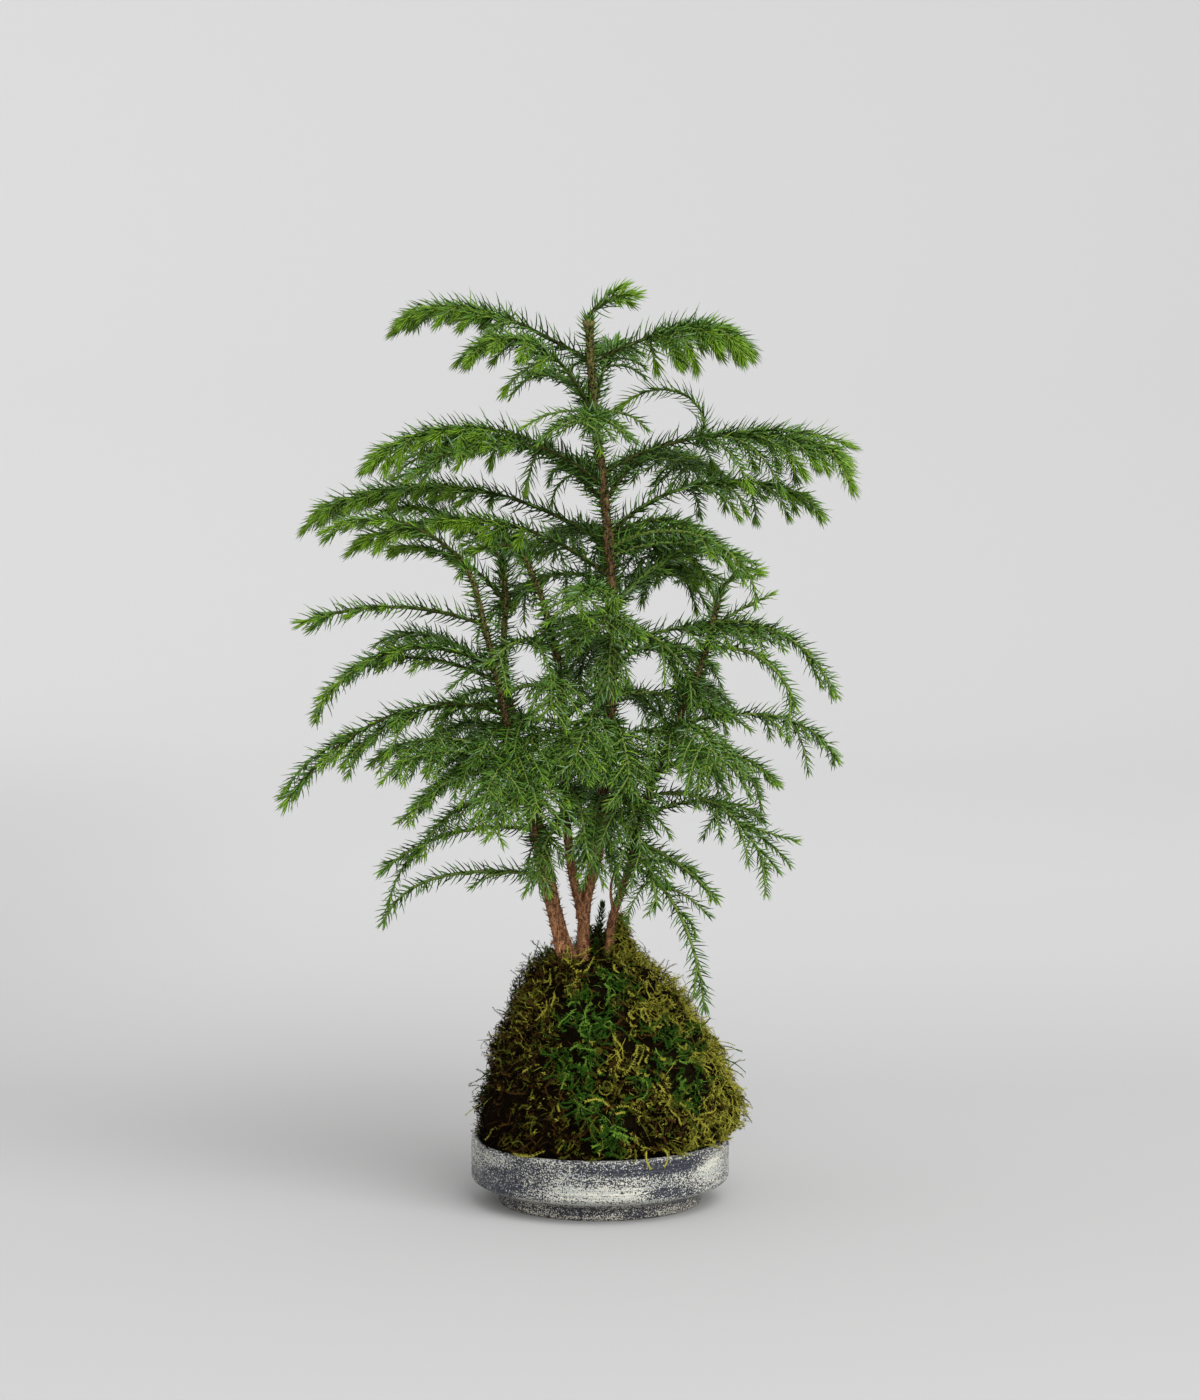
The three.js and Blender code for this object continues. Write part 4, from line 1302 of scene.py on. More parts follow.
# Sprigs that the rule alone doesn't give: the mass, the share of its own branch's length where the sprig
# leaves, its heading, rise and fall, how late it bends, its length and whether it is new all along.
PLACED_SPRIGS = (
    ("trunk_b1", 0.41, 176, 168, -55, 0.5, 72, False),
    ("trunk_b1", 0.74, -20, 4, -52, 1.0, 46, False),
    ("trunk_b1", 0.55, 2, 10, -28, 1.2, 70, False),
    ("trunk_tip", 0.08, 4, 56, 14, 1.0, 27, False),
    ("trunk_tip", 0.3, -34, 34, -6, 1.0, 22, False),
    ("trunk_a1", 0.36, -60, -20, -80, 0.8, 27, False),
    ("trunk_a1", 0.58, -50, -25, -84, 0.8, 32, False),
    ("trunk_a3", 0.42, 214, 0, -62, 1.0, 44, False),
    ("trunk_a4", 0.35, 196, 16, -42, 1.0, 46, True),
    ("trunk_a4", 0.35, -24, 20, -60, 1.0, 38, False),
    ("trunk_b3", 0.62, 188, -40, -84, 1.0, 28, False),
    ("trunk_b3", 0.3, 196, -60, -86, 1.0, 30, False),
    ("left_a2", 0.06, 182, 30, -46, 1.2, 76, False),
    ("left_b1", 0.62, 188, -18, -64, 1.0, 50, False),
    ("right_a1", 0.05, 8, 34, 18, 1.0, 36, False),
    ("right_b1", 0.62, -40, -50, -86, 0.8, 34, False),
    ("right_c1", 0.62, 4, -22, -14, 1.0, 38, False),
    ("right_c1", 0.5, -150, -40, -70, 1.0, 24, False),
    ("right_d1", 0.2, -130, -6, -76, 0.8, 36, False),
    ("right_d1", 0.24, -30, -10, -46, 1.0, 40, False),
    ("left_c2", 0.66, 196, -40, -84, 1.0, 44, False),
    ("left_c3", 0.12, -150, 10, -40, 1.0, 36, False),
)


# A small dark seedling between the trunk and the right-hand stem: its shoots by heading and rise in
# degrees, length in mm and needle length in mm.
SEEDLING_FOOT = np.array([-1.2, 1.0, 132.0])
SEEDLING = tuple(
    Shoot(
        CentreLine.grown(SEEDLING_FOOT, Course(heading, 0, rise, rise - 6, 1.0, length)), 0.9, 0.5, 1.0,
        needle, 3.4, SHORT_NEEDLE, 0.2, 0.3, spread_foot=60.0, spread_tip=38.0,
    )
    for heading, rise, length, needle in (
        (20, 88, 30, 4.4), (190, 77, 18, 3.6), (352, 76, 15, 3.6), (262, 70, 12, 3.6), (80, 72, 17, 3.6),
    )
)


@dataclass
class Crown:
    """The needled crown: its branches, the sprigs that leave them and the fingers at their ends.

    Firsts and lasts are shares of a branch's length, needles, twigs, spear and gap are in mm, and the
    spear is how far the last needles reach past a twig's end.
    """

    sprig_first: float = 0.32
    sprig_last: float = 0.95
    gap: float = 0.3
    spear: float = 5.0
    twig_foot: float = 1.2
    twig_tip: float = 0.6
    sprig_foot: float = 0.75
    sprig_tip: float = 0.4
    branch_needle: float = 8.6
    sprig_needle: float = 7.3
    tight_needle: float = 2.8
    branch_per_mm: float = 1.6
    sprig_per_mm: float = 1.4
    tight_per_mm: float = 0.4
    stem_needle: float = 9.4
    stem_per_mm: float = 2.4
    pale_share: float = 0.03
    woody_youth: float = 6.0
    seed: int = 11

    def __post_init__(self) -> None:
        """Index the stems by name."""
        self.stems = {stem.name: stem for stem in STEMS}

    def branch_line(self, branch: Branch) -> CentreLine:
        """Grow a branch from the middle of its stem, or from just above the stem's top."""
        stem = self.stems[branch.stem]
        start = stem.at(np.array(branch.height))
        if branch.height >= stem.top:
            start = start + [0, 0, self.gap + self.twig_foot * math.cos(math.radians(branch.rise))]
        course = Course(
            branch.heading, branch.turn, branch.rise, branch.fall, branch.late, branch.length,
        )
        return CentreLine.grown(start, course)

    def sprig_course(self, branch: Branch, pair: float, side: int, draw: int) -> tuple[float, Course]:
        """Work out one sprig by the rule.

        Args:
            branch: The branch that it leaves.
            pair: Its station along the branch, counted in pairs.
            side: 1 or -1.
            draw: The first of its draws.

        Returns:
            The share of the branch's length where it leaves, and its course.
        """
        first = max(self.sprig_first, branch.bare + 0.06)
        draws = [chance(branch.seed, draw + (side + 1) * 4 + index) for index in range(4)]
        share = first + (self.sprig_last - first) * (pair + 0.25 + 0.5 * draws[0]) / branch.pairs
        slope = branch.rise + (branch.fall - branch.rise) * share ** branch.late
        return share, Course(
            heading=branch.heading + branch.turn * share + side * (44 + 22 * draws[2]),
            turn=0,
            rise=slope * 0.6 - 4 + 8 * draws[3],
            fall=branch.hang + 24 * (draws[0] - 0.5),
            late=1,
            length=branch.reach * (1.15 - 0.55 * share) * (0.75 + 0.5 * draws[1]),
        )

    def sprigs(self, branch: Branch, line: CentreLine, rng: np.random.Generator) -> list[Shoot]:
        """Grow a branch's sprigs at its stations, as many as its spray says.

        Args:
            branch: The branch.
            line: Its centre line.
            rng: Where its chances come from.

        Returns:
            The sprigs.
        """
        found = []
        for pair in range(branch.pairs):
            for side in (1, -1):
                own_side = 1 if pair % 2 == 0 else -1
                if branch.spray > 0 or side == own_side:
                    found.append(self.sprig_course(branch, pair, side, pair * 16))
                if branch.spray > 1:
                    share, course = self.sprig_course(branch, pair + 0.5, side, 2000 + pair * 16)
                    found.append((min(share, 0.97), replace(course, length=course.length * 0.86)))
        return [
            self.sprig(line.at(np.array(share * branch.length))[0], course, branch.youth, rng)
            for share, course in found
        ]

    @staticmethod
    def tightness(youth: float) -> float:
        """Tell how far the last needles close up: nothing up to a youth of 5, all from 9."""
        return min(max((youth - 5) / 4, 0), 1)

    def sprig(self, start: Array, course: Course, youth: float, rng: np.random.Generator,
              pale: bool = False) -> Shoot:
        """Make a sprig whose last needles reach to the end of its course.

        Args:
            start: Where it starts.
            course: How it grows.
            youth: How far behind its tip the fresh growth reaches.
            rng: Where its chances come from.
            pale: Whether it is new all along.

        Returns:
            The sprig.
        """
        tight = self.tightness(youth)
        line = CentreLine.grown(start, course).cut(max(course.length - self.spear, 6.0))
        return Shoot(
            line, self.sprig_foot, self.sprig_tip, 1.0, self.sprig_needle + self.tight_needle * tight,
            self.sprig_per_mm + self.tight_per_mm * tight, SHORT_NEEDLE,
            youth * rng.lognormal(0, 0.35), tight, comb=0.3, spread_foot=58.0, spread_tip=36.0,
            pale=pale or (rng.random() < self.pale_share and youth > 5),
        )

    def fingers(self, branch: Branch, line: CentreLine, rng: np.random.Generator) -> list[Shoot]:
        """Grow the short fresh shoots that overlap under a branch's outer part, like shingles.

        Args:
            branch: The branch.
            line: Its centre line.
            rng: Where its chances come from.

        Returns:
            The fingers.
        """
        shoots = []
        for number in range(branch.fingers):
            side = 1 if number % 2 == 0 else -1
            share = 0.46 + 0.5 * (number + rng.uniform(0.2, 0.8)) / branch.fingers
            slope = branch.rise + (branch.fall - branch.rise) * share ** branch.late
            course = Course(
                heading=branch.heading + branch.turn * share + side * rng.uniform(8, 38),
                turn=0,
                rise=slope + rng.uniform(-22, 4),
                fall=slope - rng.uniform(20, 50),
                late=1,
                length=rng.uniform(17, 27),
            )
            start = line.at(np.array(share * branch.length))[0]
            shoots.append(self.sprig(start, course, branch.youth * 1.1, rng))
        return shoots

    def shoots(self, branch: Branch) -> tuple[Shoot, list[Shoot]]:
        """Grow one branch with its needled sprigs and fingers.

        Args:
            branch: The branch.

        Returns:
            The branch itself, and its sprigs and fingers.
        """
        rng = np.random.default_rng([self.seed, branch.seed])
        line = self.branch_line(branch)
        tight = self.tightness(branch.youth)
        main = Shoot(
            line.cut(branch.length - self.spear), self.twig_foot, self.twig_tip, 3.0,
            self.branch_needle + self.tight_needle * tight, self.branch_per_mm, LONG_NEEDLE,
            branch.youth, tight, comb=0.2, rings=26,
        )
        return main, self.sprigs(branch, line, rng) + self.fingers(branch, line, rng)

    def mass(self, name: str) -> tuple[list[Shoot], list[Shoot]]:
        """Grow a mass: its own branch, its mates and its placed sprigs.

        Args:
            name: The mass's name.

        Returns:
            Its branches, and its sprigs and fingers.
        """
        own = BRANCHES[name]
        grown = [self.shoots(branch) for branch in (own, *MATES) if branch.name == name]
        mains = [main for main, _ in grown]
        sprigs = [shoot for _, shoots in grown for shoot in shoots]
        rng = np.random.default_rng([self.seed, own.seed, 1])
        line = self.branch_line(own)
        for mass, share, heading, rise, fall, late, length, pale in PLACED_SPRIGS:
            if mass == name:
                start = line.at(np.array(share * own.length))[0]
                course = Course(heading, 0, rise, fall, late, length)
                sprigs.append(self.sprig(start, course, own.youth, rng, pale))
        return mains, sprigs

    def build(self) -> None:
        """Make the twigs and needles, each kind apart, stem by stem."""
        needles = {age: finish.build() for age, finish in NEEDLE_FINISHES.items()}
        # Living twigs: matt olive skin that turns to bark on the old ones, smooth and green on the new.
        woody = LivingFinish("twig_bark_olive", "#3f4119", 0.75, 0.2).build()
        green = LivingFinish("sprig_skin_green", "#6b7f35", 0.6, 0.3).build()
        for stem in STEMS:
            writer = NeedleWriter(np.random.default_rng([self.seed, len(stem.path)]))
            names = [branch.name for branch in BRANCHES.values() if branch.stem == stem.name]
            grown = [self.mass(name) for name in names]
            mains = [main for group, _ in grown for main in group]
            sprigs = [sprig for _, group in grown for sprig in group]
            for shoot in mains + sprigs:
                writer.clothe(shoot)
            writer.clothe(stem.shoot(stem.bark_top - 20, self.stem_needle, self.stem_per_mm))
            for shoot in SEEDLING if stem.name == "trunk" else ():
                writer.clothe(shoot)
            nodes = tuple(f"foliage_{name}" for name in names)
            boughs = tuple(f"bough_{name}" for name in names if BRANCHES[name].bare > 0)
            old = [main for main in mains if main.youth >= self.woody_youth]
            young = [main for main in mains if main.youth < self.woody_youth]
            soft = [twig_shell(sprigs, 4)] + ([twig_shell(young, 6)] if young else [])
            add_piece(f"branches_{stem.name}", twig_shell(old, 7), woody, nodes + boughs)
            add_piece(f"sprigs_{stem.name}", Shell.joined(soft), green, nodes + boughs)
            for age, shells in writer.shells.items():
                if shells:
                    add_piece(
                        f"needles_{stem.name}_{age.value}", Shell.joined(shells), needles[age],
                        nodes,
                    )


def twig_shell(shoots: list[Shoot], sides: int) -> Shell:
    """Make the twigs of shoots that have the same number of rings.

    Args:
        shoots: The shoots.
        sides: Corners of a twig's section.

    Returns:
        One shell with all the twigs, each tapering evenly from foot to tip.
    """
    share = np.linspace(0, 1, shoots[0].rings)
    placed = [shoot.line.at(share * shoot.line.length) for shoot in shoots]
    foot = np.array([shoot.foot for shoot in shoots])[:, None]
    tip = np.array([shoot.tip for shoot in shoots])[:, None]
    return swept(
        np.stack([point for point, _ in placed]),
        np.stack([tangent for _, tangent in placed]),
        np.stack([shoot.line.side for shoot in shoots]),
        foot + (tip - foot) * share,
        sides,
    )


@dataclass(frozen=True)
class BarkLeaf:
    """What an old needle leaves on the bark: its shape, length in mm, and leans from the stem in
    degrees at its foot and tip, each from least to greatest."""

    shape: NeedleShape
    length: Span
    lean_foot: Span
    lean_tip: Span

    def shell(self, foot: Array, forward: Array, outward: Array, rng: np.random.Generator) -> Shell:
        """Make one at each place.

        Args:
            foot: The places.
            forward: Unit direction up the stem at each.
            outward: Unit direction away from the stem at each.
            rng: Where its chances come from.

        Returns:
            One shell with them all.
        """
        count = len(foot)
        length = rng.uniform(*self.length, count)
        lean_foot = np.radians(rng.uniform(*self.lean_foot, count))
        lean_tip = np.radians(rng.uniform(*self.lean_tip, count))
        return self.shape.shell(foot, forward, outward, length, lean_foot, lean_tip, np.zeros(count))


@dataclass
class Woodwork:
    """The stems' bark, with the leaf cushions that cover it and the dried spines that stand off it."""

    sink: float = 9.0
    fork_sink: float = 4.0
    leaves_per_mm: float = 5.2
    cushion: BarkLeaf = BarkLeaf(CUSHION, (1.6, 3.2), (12, 34), (2, 28))
    spine: BarkLeaf = BarkLeaf(SPINE, (1.8, 4.6), (45, 95), (20, 75))
    spiny_share: float = 0.5
    seed: int = 23

    def cover(self, stem: Stem, rng: np.random.Generator) -> Shell:
        """Make the leaf cushions that cover a stem, in a spiral of 137.5 degrees from each to the next,
        and the dried spines that stand off its lower length.

        Args:
            stem: The stem.
            rng: Where its chances come from.

        Returns:
            One shell with the cushions and spines.
        """
        span = stem.top - 3 - stem.base
        number = np.arange(int(span * self.leaves_per_mm))
        count = len(number)
        height = stem.base + (number + rng.uniform(0, 1, count)) / self.leaves_per_mm
        angle = np.radians(GOLDEN_ANGLE * number + rng.normal(0, 8, count))
        outward = level_ways(angle)
        forward = unit(stem.at(height + 1) - stem.at(height))
        foot = stem.at(height) + outward * (stem.radius(height) * 0.84)[:, None]
        ends = (stem.bark_top, stem.bark_top + 20)
        spiny = rng.random(count) < np.interp(height, ends, (self.spiny_share, 0))
        return Shell.joined([
            self.cushion.shell(foot[~spiny], forward[~spiny], outward[~spiny], rng),
            self.spine.shell(foot[spiny], forward[spiny], outward[spiny], rng),
        ])

    def build(self) -> None:
        """Make each stem's bark with its relief, and the cushions and spines on it, then a bare spur."""
        rng = np.random.default_rng(self.seed)
        for stem in STEMS:
            bark = BarkFinish(f"young_conifer_bark_{stem.name}", (
                (0, 0, "#331407", "#c98f62"),
                (stem.bark_top - 70, stem.bark_top + 10, "#20150a", "#84663f"),
                (stem.top - 75, stem.top - 35, "#3a3518", "#8d8148"),
            )).build()
            knots = np.array([b.height for b in BRANCHES.values() if b.stem == stem.name], float)
            sink = self.sink if stem.base <= FOOT else self.fork_sink
            add_piece(f"bark_{stem.name}", stem.bark(knots, sink), bark, (stem.node,))
            add_piece(f"cushions_{stem.name}", self.cover(stem, rng), bark)
        spur = Stem("spur", 0.75, 0.55, (
            (8.6, -1, 157), (6.4, -1.5, 163), (5.9, -1.5, 171), (7.6, -1.5, 179), (12, -3, 187),
        ), 300)
        spur_bark = BarkFinish("young_conifer_bark_spur", ((0, 0, "#331407", "#c98f62"),)).build()
        add_piece("bark_spur", spur.bark(np.array([0.0]), 0.0), spur_bark)


# ---------------- root ball


class Moss(Enum):
    """The colours of moss that the strands are dealt into."""

    UMBER = "umber"
    BROWN = "brown"
    OLIVE = "olive"
    GOLD = "gold"
    GREEN = "green"
    BRIGHT = "bright"


# Sheet moss, part dried: quite matt and fibrous, near black where it lies deep, partly dead moss and
# partly painted shade, straw gold where it is dry, partly also painted light on the strands on top and
# on the right, and fresh green in patches.
MOSS_FINISHES = {
    Moss.UMBER: LivingFinish("dried_moss_umber", "#160d04", 0.95, 0.04),
    Moss.BROWN: LivingFinish("dried_moss_brown", "#4a3414", 0.95, 0.06),
    Moss.OLIVE: LivingFinish("sheet_moss_olive", "#5c5e1a", 0.9, 0.08),
    Moss.GOLD: LivingFinish("sheet_moss_gold", "#a6a23c", 0.85, 0.1),
    Moss.GREEN: LivingFinish("sheet_moss_green", "#2f5212", 0.85, 0.08),
    Moss.BRIGHT: LivingFinish("sheet_moss_bright", "#6d9432", 0.8, 0.12),
}

# Packed moss and soil, darkened to near black as painted shade in the gaps and pits between strands.
HUMUS_AND_PAINTED_SHADE = HumusFinish("packed_moss_and_soil", "#080502", "#171006", "#2a250f")

MOSS_ORDER = list(Moss)


@dataclass(frozen=True)
class Stray:
    """A strand that stands out of the ball: where it starts by angle and height, which way it goes, its
    length, how it bends and its colour."""

    angle: float
    height: float
    direction: Point
    length: float
    curl: float
    droop: float
    kind: Moss
    feathery: bool = True


STRAYS = (
    Stray(181, 88, (-1.0, -0.2, 0.3), 17, -0.30, 0.10, Moss.BROWN, False),
    Stray(184, 68, (-0.7, -0.4, 0.2), 12, 0.30, 0.05, Moss.GREEN),
    Stray(186, 60, (-0.6, -0.5, 0.5), 12, -0.40, 0.05, Moss.GREEN),
    Stray(188, 116, (-1.0, -0.2, 0.0), 13, 0.25, 0.03, Moss.GREEN),
    Stray(190, 130, (-0.9, -0.1, 0.9), 17, 0.62, 0.02, Moss.GREEN),
    Stray(196, 132, (-0.3, 0.0, 1.0), 15, 0.75, 0.05, Moss.GREEN),
    Stray(184, 128, (-1.0, 0.0, 0.5), 13, 0.45, 0.04, Moss.GREEN),
    Stray(200, 129, (-0.7, -0.4, 0.5), 15, -0.5, 0.05, Moss.OLIVE),
    Stray(192, 124, (-1.0, -0.4, 0.2), 11, 0.5, 0.05, Moss.OLIVE),
    Stray(-12, 118, (0.8, 0.0, 0.8), 10, 0.55, 0.06, Moss.GOLD),
    Stray(-6, 108, (0.8, -0.2, 0.5), 10, -0.50, 0.06, Moss.OLIVE),
    Stray(-14, 96, (0.9, 0.0, 0.4), 10, 0.50, 0.05, Moss.GREEN),
    Stray(-4, 84, (0.9, -0.1, 0.6), 20, 0.45, 0.24, Moss.GREEN),
    Stray(-7, 78, (1.0, -0.1, 0.4), 19, 0.42, 0.28, Moss.GREEN),
    Stray(-2, 72, (1.0, 0.0, 0.3), 18, 0.40, 0.30, Moss.OLIVE),
    Stray(-10, 66, (1.0, -0.2, 0.4), 17, -0.50, 0.28, Moss.GOLD),
    Stray(-3, 58, (1.0, -0.1, 0.4), 16, -0.42, 0.30, Moss.BROWN, False),
    Stray(-6, 50, (1.0, -0.1, 0.5), 14, 0.45, 0.30, Moss.OLIVE),
    Stray(-66, 41, (0.4, -0.7, 0.4), 14, -0.35, 0.34, Moss.GOLD),
    Stray(-72, 40, (0.1, -0.8, 0.3), 13, 0.32, 0.34, Moss.GOLD),
    Stray(-77, 40, (-0.2, -0.8, 0.3), 12, -0.40, 0.34, Moss.OLIVE),
    Stray(-62, 43, (0.6, -0.6, 0.2), 14, 0.35, 0.30, Moss.OLIVE),
    Stray(-95, 84, (0.9, -0.3, 0.2), 22, 0.20, 0.02, Moss.GOLD, False),
    Stray(-88, 62, (-0.5, -0.3, 0.7), 20, 0.15, 0.02, Moss.GOLD),
    Stray(-60, 92, (0.3, -0.5, -0.8), 18, 0.35, 0.02, Moss.BRIGHT),
)


@dataclass(frozen=True)
class Mound:
    """A heap of moss between the stems: its foot and sizes in mm, how many fronds lie on it, and their
    colours, the commoner ones more often. The steepness is the power that its sides curve in by."""

    foot: Point
    radius: float
    height: float
    fronds: int
    kinds: tuple[Moss, ...]
    steepness: float = 1.15
    frond_length: Span = (3, 8)
    frond_radius: Span = (0.18, 0.36)


@dataclass(frozen=True)
class Coat:
    """A coat of strands over the whole ball, with sizes in mm from least to greatest.

    Curl is in radians a step. Rise is how high over the ball the strands' roots lie, and lift how far
    their tips stand above that. Depth is 0 on top and 1 deep, and past 1 they fill the pits too. Deeper
    coats are dealt darker colours, partly dead moss and partly painted shade, and the strings on top
    lighter ones, partly painted light.
    """

    count: int
    length: Span
    curl: float
    rise: Span
    lift: float
    radius: Span
    depth: float
    feathery: bool


@dataclass
class RootBall:
    """The root ball: a near-black packed core, painted shade where it shows through, under a coat of
    creeping moss, in clumps with gaps between.
    """

    profile: tuple[Span, ...] = (
        (0, 8.3), (58, 8.3), (63.2, 16), (64.2, 34), (67.6, 42), (68.6, 54), (64.5, 67), (59.5, 82),
        (52.5, 95), (45.5, 109), (36.5, 122), (25, 134), (0, 134),
    )
    bottom: float = 8.3
    lumps: float = 1.5
    core_depth: float = 3.0
    rim_top: float = 36.0
    rim_inside: float = 64.6
    steps: int = 6
    leaf_length: Span = (0.7, 1.9)
    leaf_width: float = 0.62
    tuft_count: int = 6500
    tuft_leaves: int = 6
    tuft_length: Span = (0.9, 3.0)
    # The deep mat is dealt umber and brown: partly dead moss below, partly painted shade.
    mat: Coat = Coat(1800, (6, 15), 0.2, (-2.0, 0.0), 0.6, (0.2, 0.34), 1.4, False)
    fronds: Coat = Coat(3000, (4, 10), 0.24, (-1.4, 1.2), 2.4, (0.14, 0.24), 0.2, True)
    shreds: Coat = Coat(3200, (2, 8), 0.5, (-0.6, 2.4), 2.2, (0.12, 0.3), 0.0, False)
    # The strings lie on top and are dealt lighter colours: partly dry moss, partly painted light.
    strings: Coat = Coat(820, (6, 17), 0.4, (1.0, 3.6), 3.0, (0.12, 0.26), -0.2, True)
    flyaways: int = 420
    fly_length: Span = (5, 14)
    fly_radius: Span = (0.16, 0.28)
    stray_radius: float = 0.34
    stray_pairs: int = 22
    leaf_pairs: int = 12
    waver: float = 0.22
    mounds: tuple[Mound, ...] = (
        Mound((10.5, 4.5, 130.0), 11.0, 28.0, 900, (
            Moss.BROWN, Moss.OLIVE, Moss.GOLD, Moss.GOLD, Moss.GOLD, Moss.GOLD, Moss.BRIGHT,
        )),
        Mound((-2.0, 2.5, 129.0), 8.5, 22.0, 420, (
            Moss.UMBER, Moss.UMBER, Moss.UMBER, Moss.BROWN, Moss.GREEN,
        )),
    )
    green_spots: tuple[tuple[float, float, float, float], ...] = (
        (-6, -44, 108, 17), (-12, -56, 86, 13), (34, -44, 92, 15), (54, -26, 97, 10), (46, -46, 72, 15),
        (4, -66, 52, 12), (-66, -12, 66, 9), (-8, -62, 66, 10), (24, -62, 76, 8), (4, -34, 124, 11),
        (20, 52, 95, 18), (-38, 45, 80, 16), (52, 36, 58, 14), (-10, 66, 52, 13), (-20, 10, 134, 12),
    )
    pit_level: float = -0.28
    # The hollow between the stems is left bare, so the near-black core shows there as painted shade.
    hollow: Point = (-4.0, -14.0, 134.0)
    hollow_radius: float = 12.0
    seed: int = 37

    def __post_init__(self) -> None:
        """Work out the profile's stretches and the directions that its corners face."""
        self.rng = np.random.default_rng(self.seed)
        self.corners = np.array(self.profile, float)
        run = np.diff(self.corners, axis=0)
        face = unit(np.stack([run[:, 1], -run[:, 0]], axis=1))
        self.facing = unit(np.concatenate([face[:1], face[1:] + face[:-1], face[-1:]]))
        self.runs = run
        self.shells = {kind: [] for kind in Moss}

    def shift(self, height: Array) -> Array:
        """Find how far the ball's middle is set off the axis: 6.5 sin(pi (z - bottom) / 105) - 1."""
        return np.where(
            height > self.rim_top + 1.6, 6.5 * np.sin(np.pi * (height - self.bottom) / 105) - 1, 0,
        )

    def over(self, points: Array) -> tuple[Array, Array]:
        """Find how far points stand over the ball, and which way is out.

        In the plane of radius and height the distance is that to the nearest stretch of the profile,
        and out is between the directions that the stretch's two corners face. Low lumps,
        (sin(3a + z / 17) + sin(5a - z / 11)) / 2, then come off the distance.

        Args:
            points: Points near the ball.

        Returns:
            The distance, which is negative inside, and unit directions.
        """
        shift = self.shift(points[:, 2])
        x, y, z = points[:, 0] - shift, points[:, 1], points[:, 2]
        angle = np.arctan2(y, x)
        flat = np.stack([np.hypot(x, y), z], axis=-1)[:, None]
        offset = flat - self.corners[None, :-1]
        share = np.clip(np.sum(offset * self.runs, axis=-1) / np.sum(self.runs ** 2, axis=-1), 0, 1)
        gap = offset - share[..., None] * self.runs
        nearest = np.argmin(np.linalg.norm(gap, axis=-1), axis=1)
        row = np.arange(len(points))
        share = share[row, nearest][:, None]
        facing = unit(self.facing[nearest] * (1 - share) + self.facing[nearest + 1] * share)
        height = np.sum(gap[row, nearest] * facing, axis=-1)
        wave = (np.sin(3 * angle + z / 17) + np.sin(5 * angle - z / 11)) / 2
        level, up = facing.T
        out = np.stack([level * np.cos(angle), level * np.sin(angle), up], axis=-1)
        return height - self.lumps * wave, out

    def clump(self, points: Array) -> Array:
        """Find how far the moss swells out or sinks in: products of sines, 13 to 45 mm apart."""
        x, y, z = points.T
        broad = np.sin(x / 7.1 + 1.0) * np.sin(y / 6.3 + z / 9.7 + 0.5)
        tight = np.sin(x / 3.1 + z / 3.7) * np.cos(y / 3.3 - z / 2.9 + 1.4)
        return 2.6 * broad + 2.1 * tight

    def filled(self, points: Array) -> Array:
        """Tell where moss grows: not in the pits, where a product of sines 7 to 9 mm apart is low,
        nor in the hollow between the stems. There the near-black core shows as painted shade."""
        x, y, z = points.T
        pits = (
            np.sin(x / 2.3 + z / 3.1 + 0.4) * np.cos(y / 2.7 - z / 2.1)
            + 0.5 * np.sin(z / 4.3 + x / 5.1 - y / 4.7)
        )
        bare = np.linalg.norm(points - self.hollow, axis=1) < self.hollow_radius
        return (pits + self.rng.normal(0, 0.25, len(points)) > self.pit_level) & ~bare

    def outline(self, count: int) -> tuple[Array, Array, Array]:
        """Walk round the profile: places counted in corners, with the radius and height there."""
        corner = np.arange(len(self.corners))
        place = np.linspace(0, len(self.corners) - 1, count)
        radius, height = (np.interp(place, corner, column) for column in self.corners.T)
        return place, radius, height

    def scatter(self, count: int, low: float) -> Array:
        """Spread points over the ball's surface above a height, evenly by area.

        Args:
            count: How many points.
            low: The lowest height.

        Returns:
            The points.
        """
        place, radius, height = self.outline(600)
        step = np.hypot(np.diff(radius), np.diff(height))
        weight = step * (radius[1:] + radius[:-1] + 3) * ((height[1:] > low) & (place[1:] > 2))
        pick = self.rng.choice(len(weight), count, p=weight / weight.sum())
        mix = self.rng.random(count)
        r = radius[pick] + (radius[pick + 1] - radius[pick]) * mix
        z = height[pick] + (height[pick + 1] - height[pick]) * mix
        a = 2 * np.pi * self.rng.random(count)
        return np.stack([r * np.cos(a) + self.shift(z), r * np.sin(a), z], axis=-1)

    def creep(self, start: Array, direction: Array, length: Array, curl: Array,
              height: Array, hold: float, droop: Array) -> Array:
        """Let strands creep over the ball.

        At each step the direction turns about the outward direction by the strand's curl, sinks by
        the droop and loses part of its outward share. The point then moves on and is drawn towards
        its height over the ball, by the hold.

        Args:
            start: Where each strand starts.
            direction: Its first direction.
            length: Its length.
            curl: Its turn in radians at each step.
            height: Its height over the ball at each step, by strand and step.
            hold: From 0, free, to 1, held at its height.
            droop: How much each step sinks.

        Returns:
            Points by strand and step.
        """
        point, heading = start, unit(direction)
        points = [start]
        for number in range(self.steps):
            _, out = self.over(point)
            turned_by = curl + self.rng.normal(0, self.waver, len(curl))
            across = np.cross(out, heading)
            heading = heading * np.cos(turned_by)[:, None] + across * np.sin(turned_by)[:, None]
            heading = heading - np.stack([0 * droop, 0 * droop, droop], axis=-1)
            heading = unit(heading - out * np.sum(heading * out, axis=-1, keepdims=True) * hold)
            point = point + heading * (length / self.steps)[:, None]
            over, out = self.over(point)
            point = point + out * ((height[:, number] + self.clump(point) - over) * hold)[:, None]
            x, y, z = point.T
            on_rim = (np.hypot(x, y) > self.rim_inside) & (z < self.rim_top) & (hold > 0)
            point[:, 2] = np.where(on_rim, self.rim_top + 0.3, z)
            points.append(point)
        return np.stack(points, axis=1)

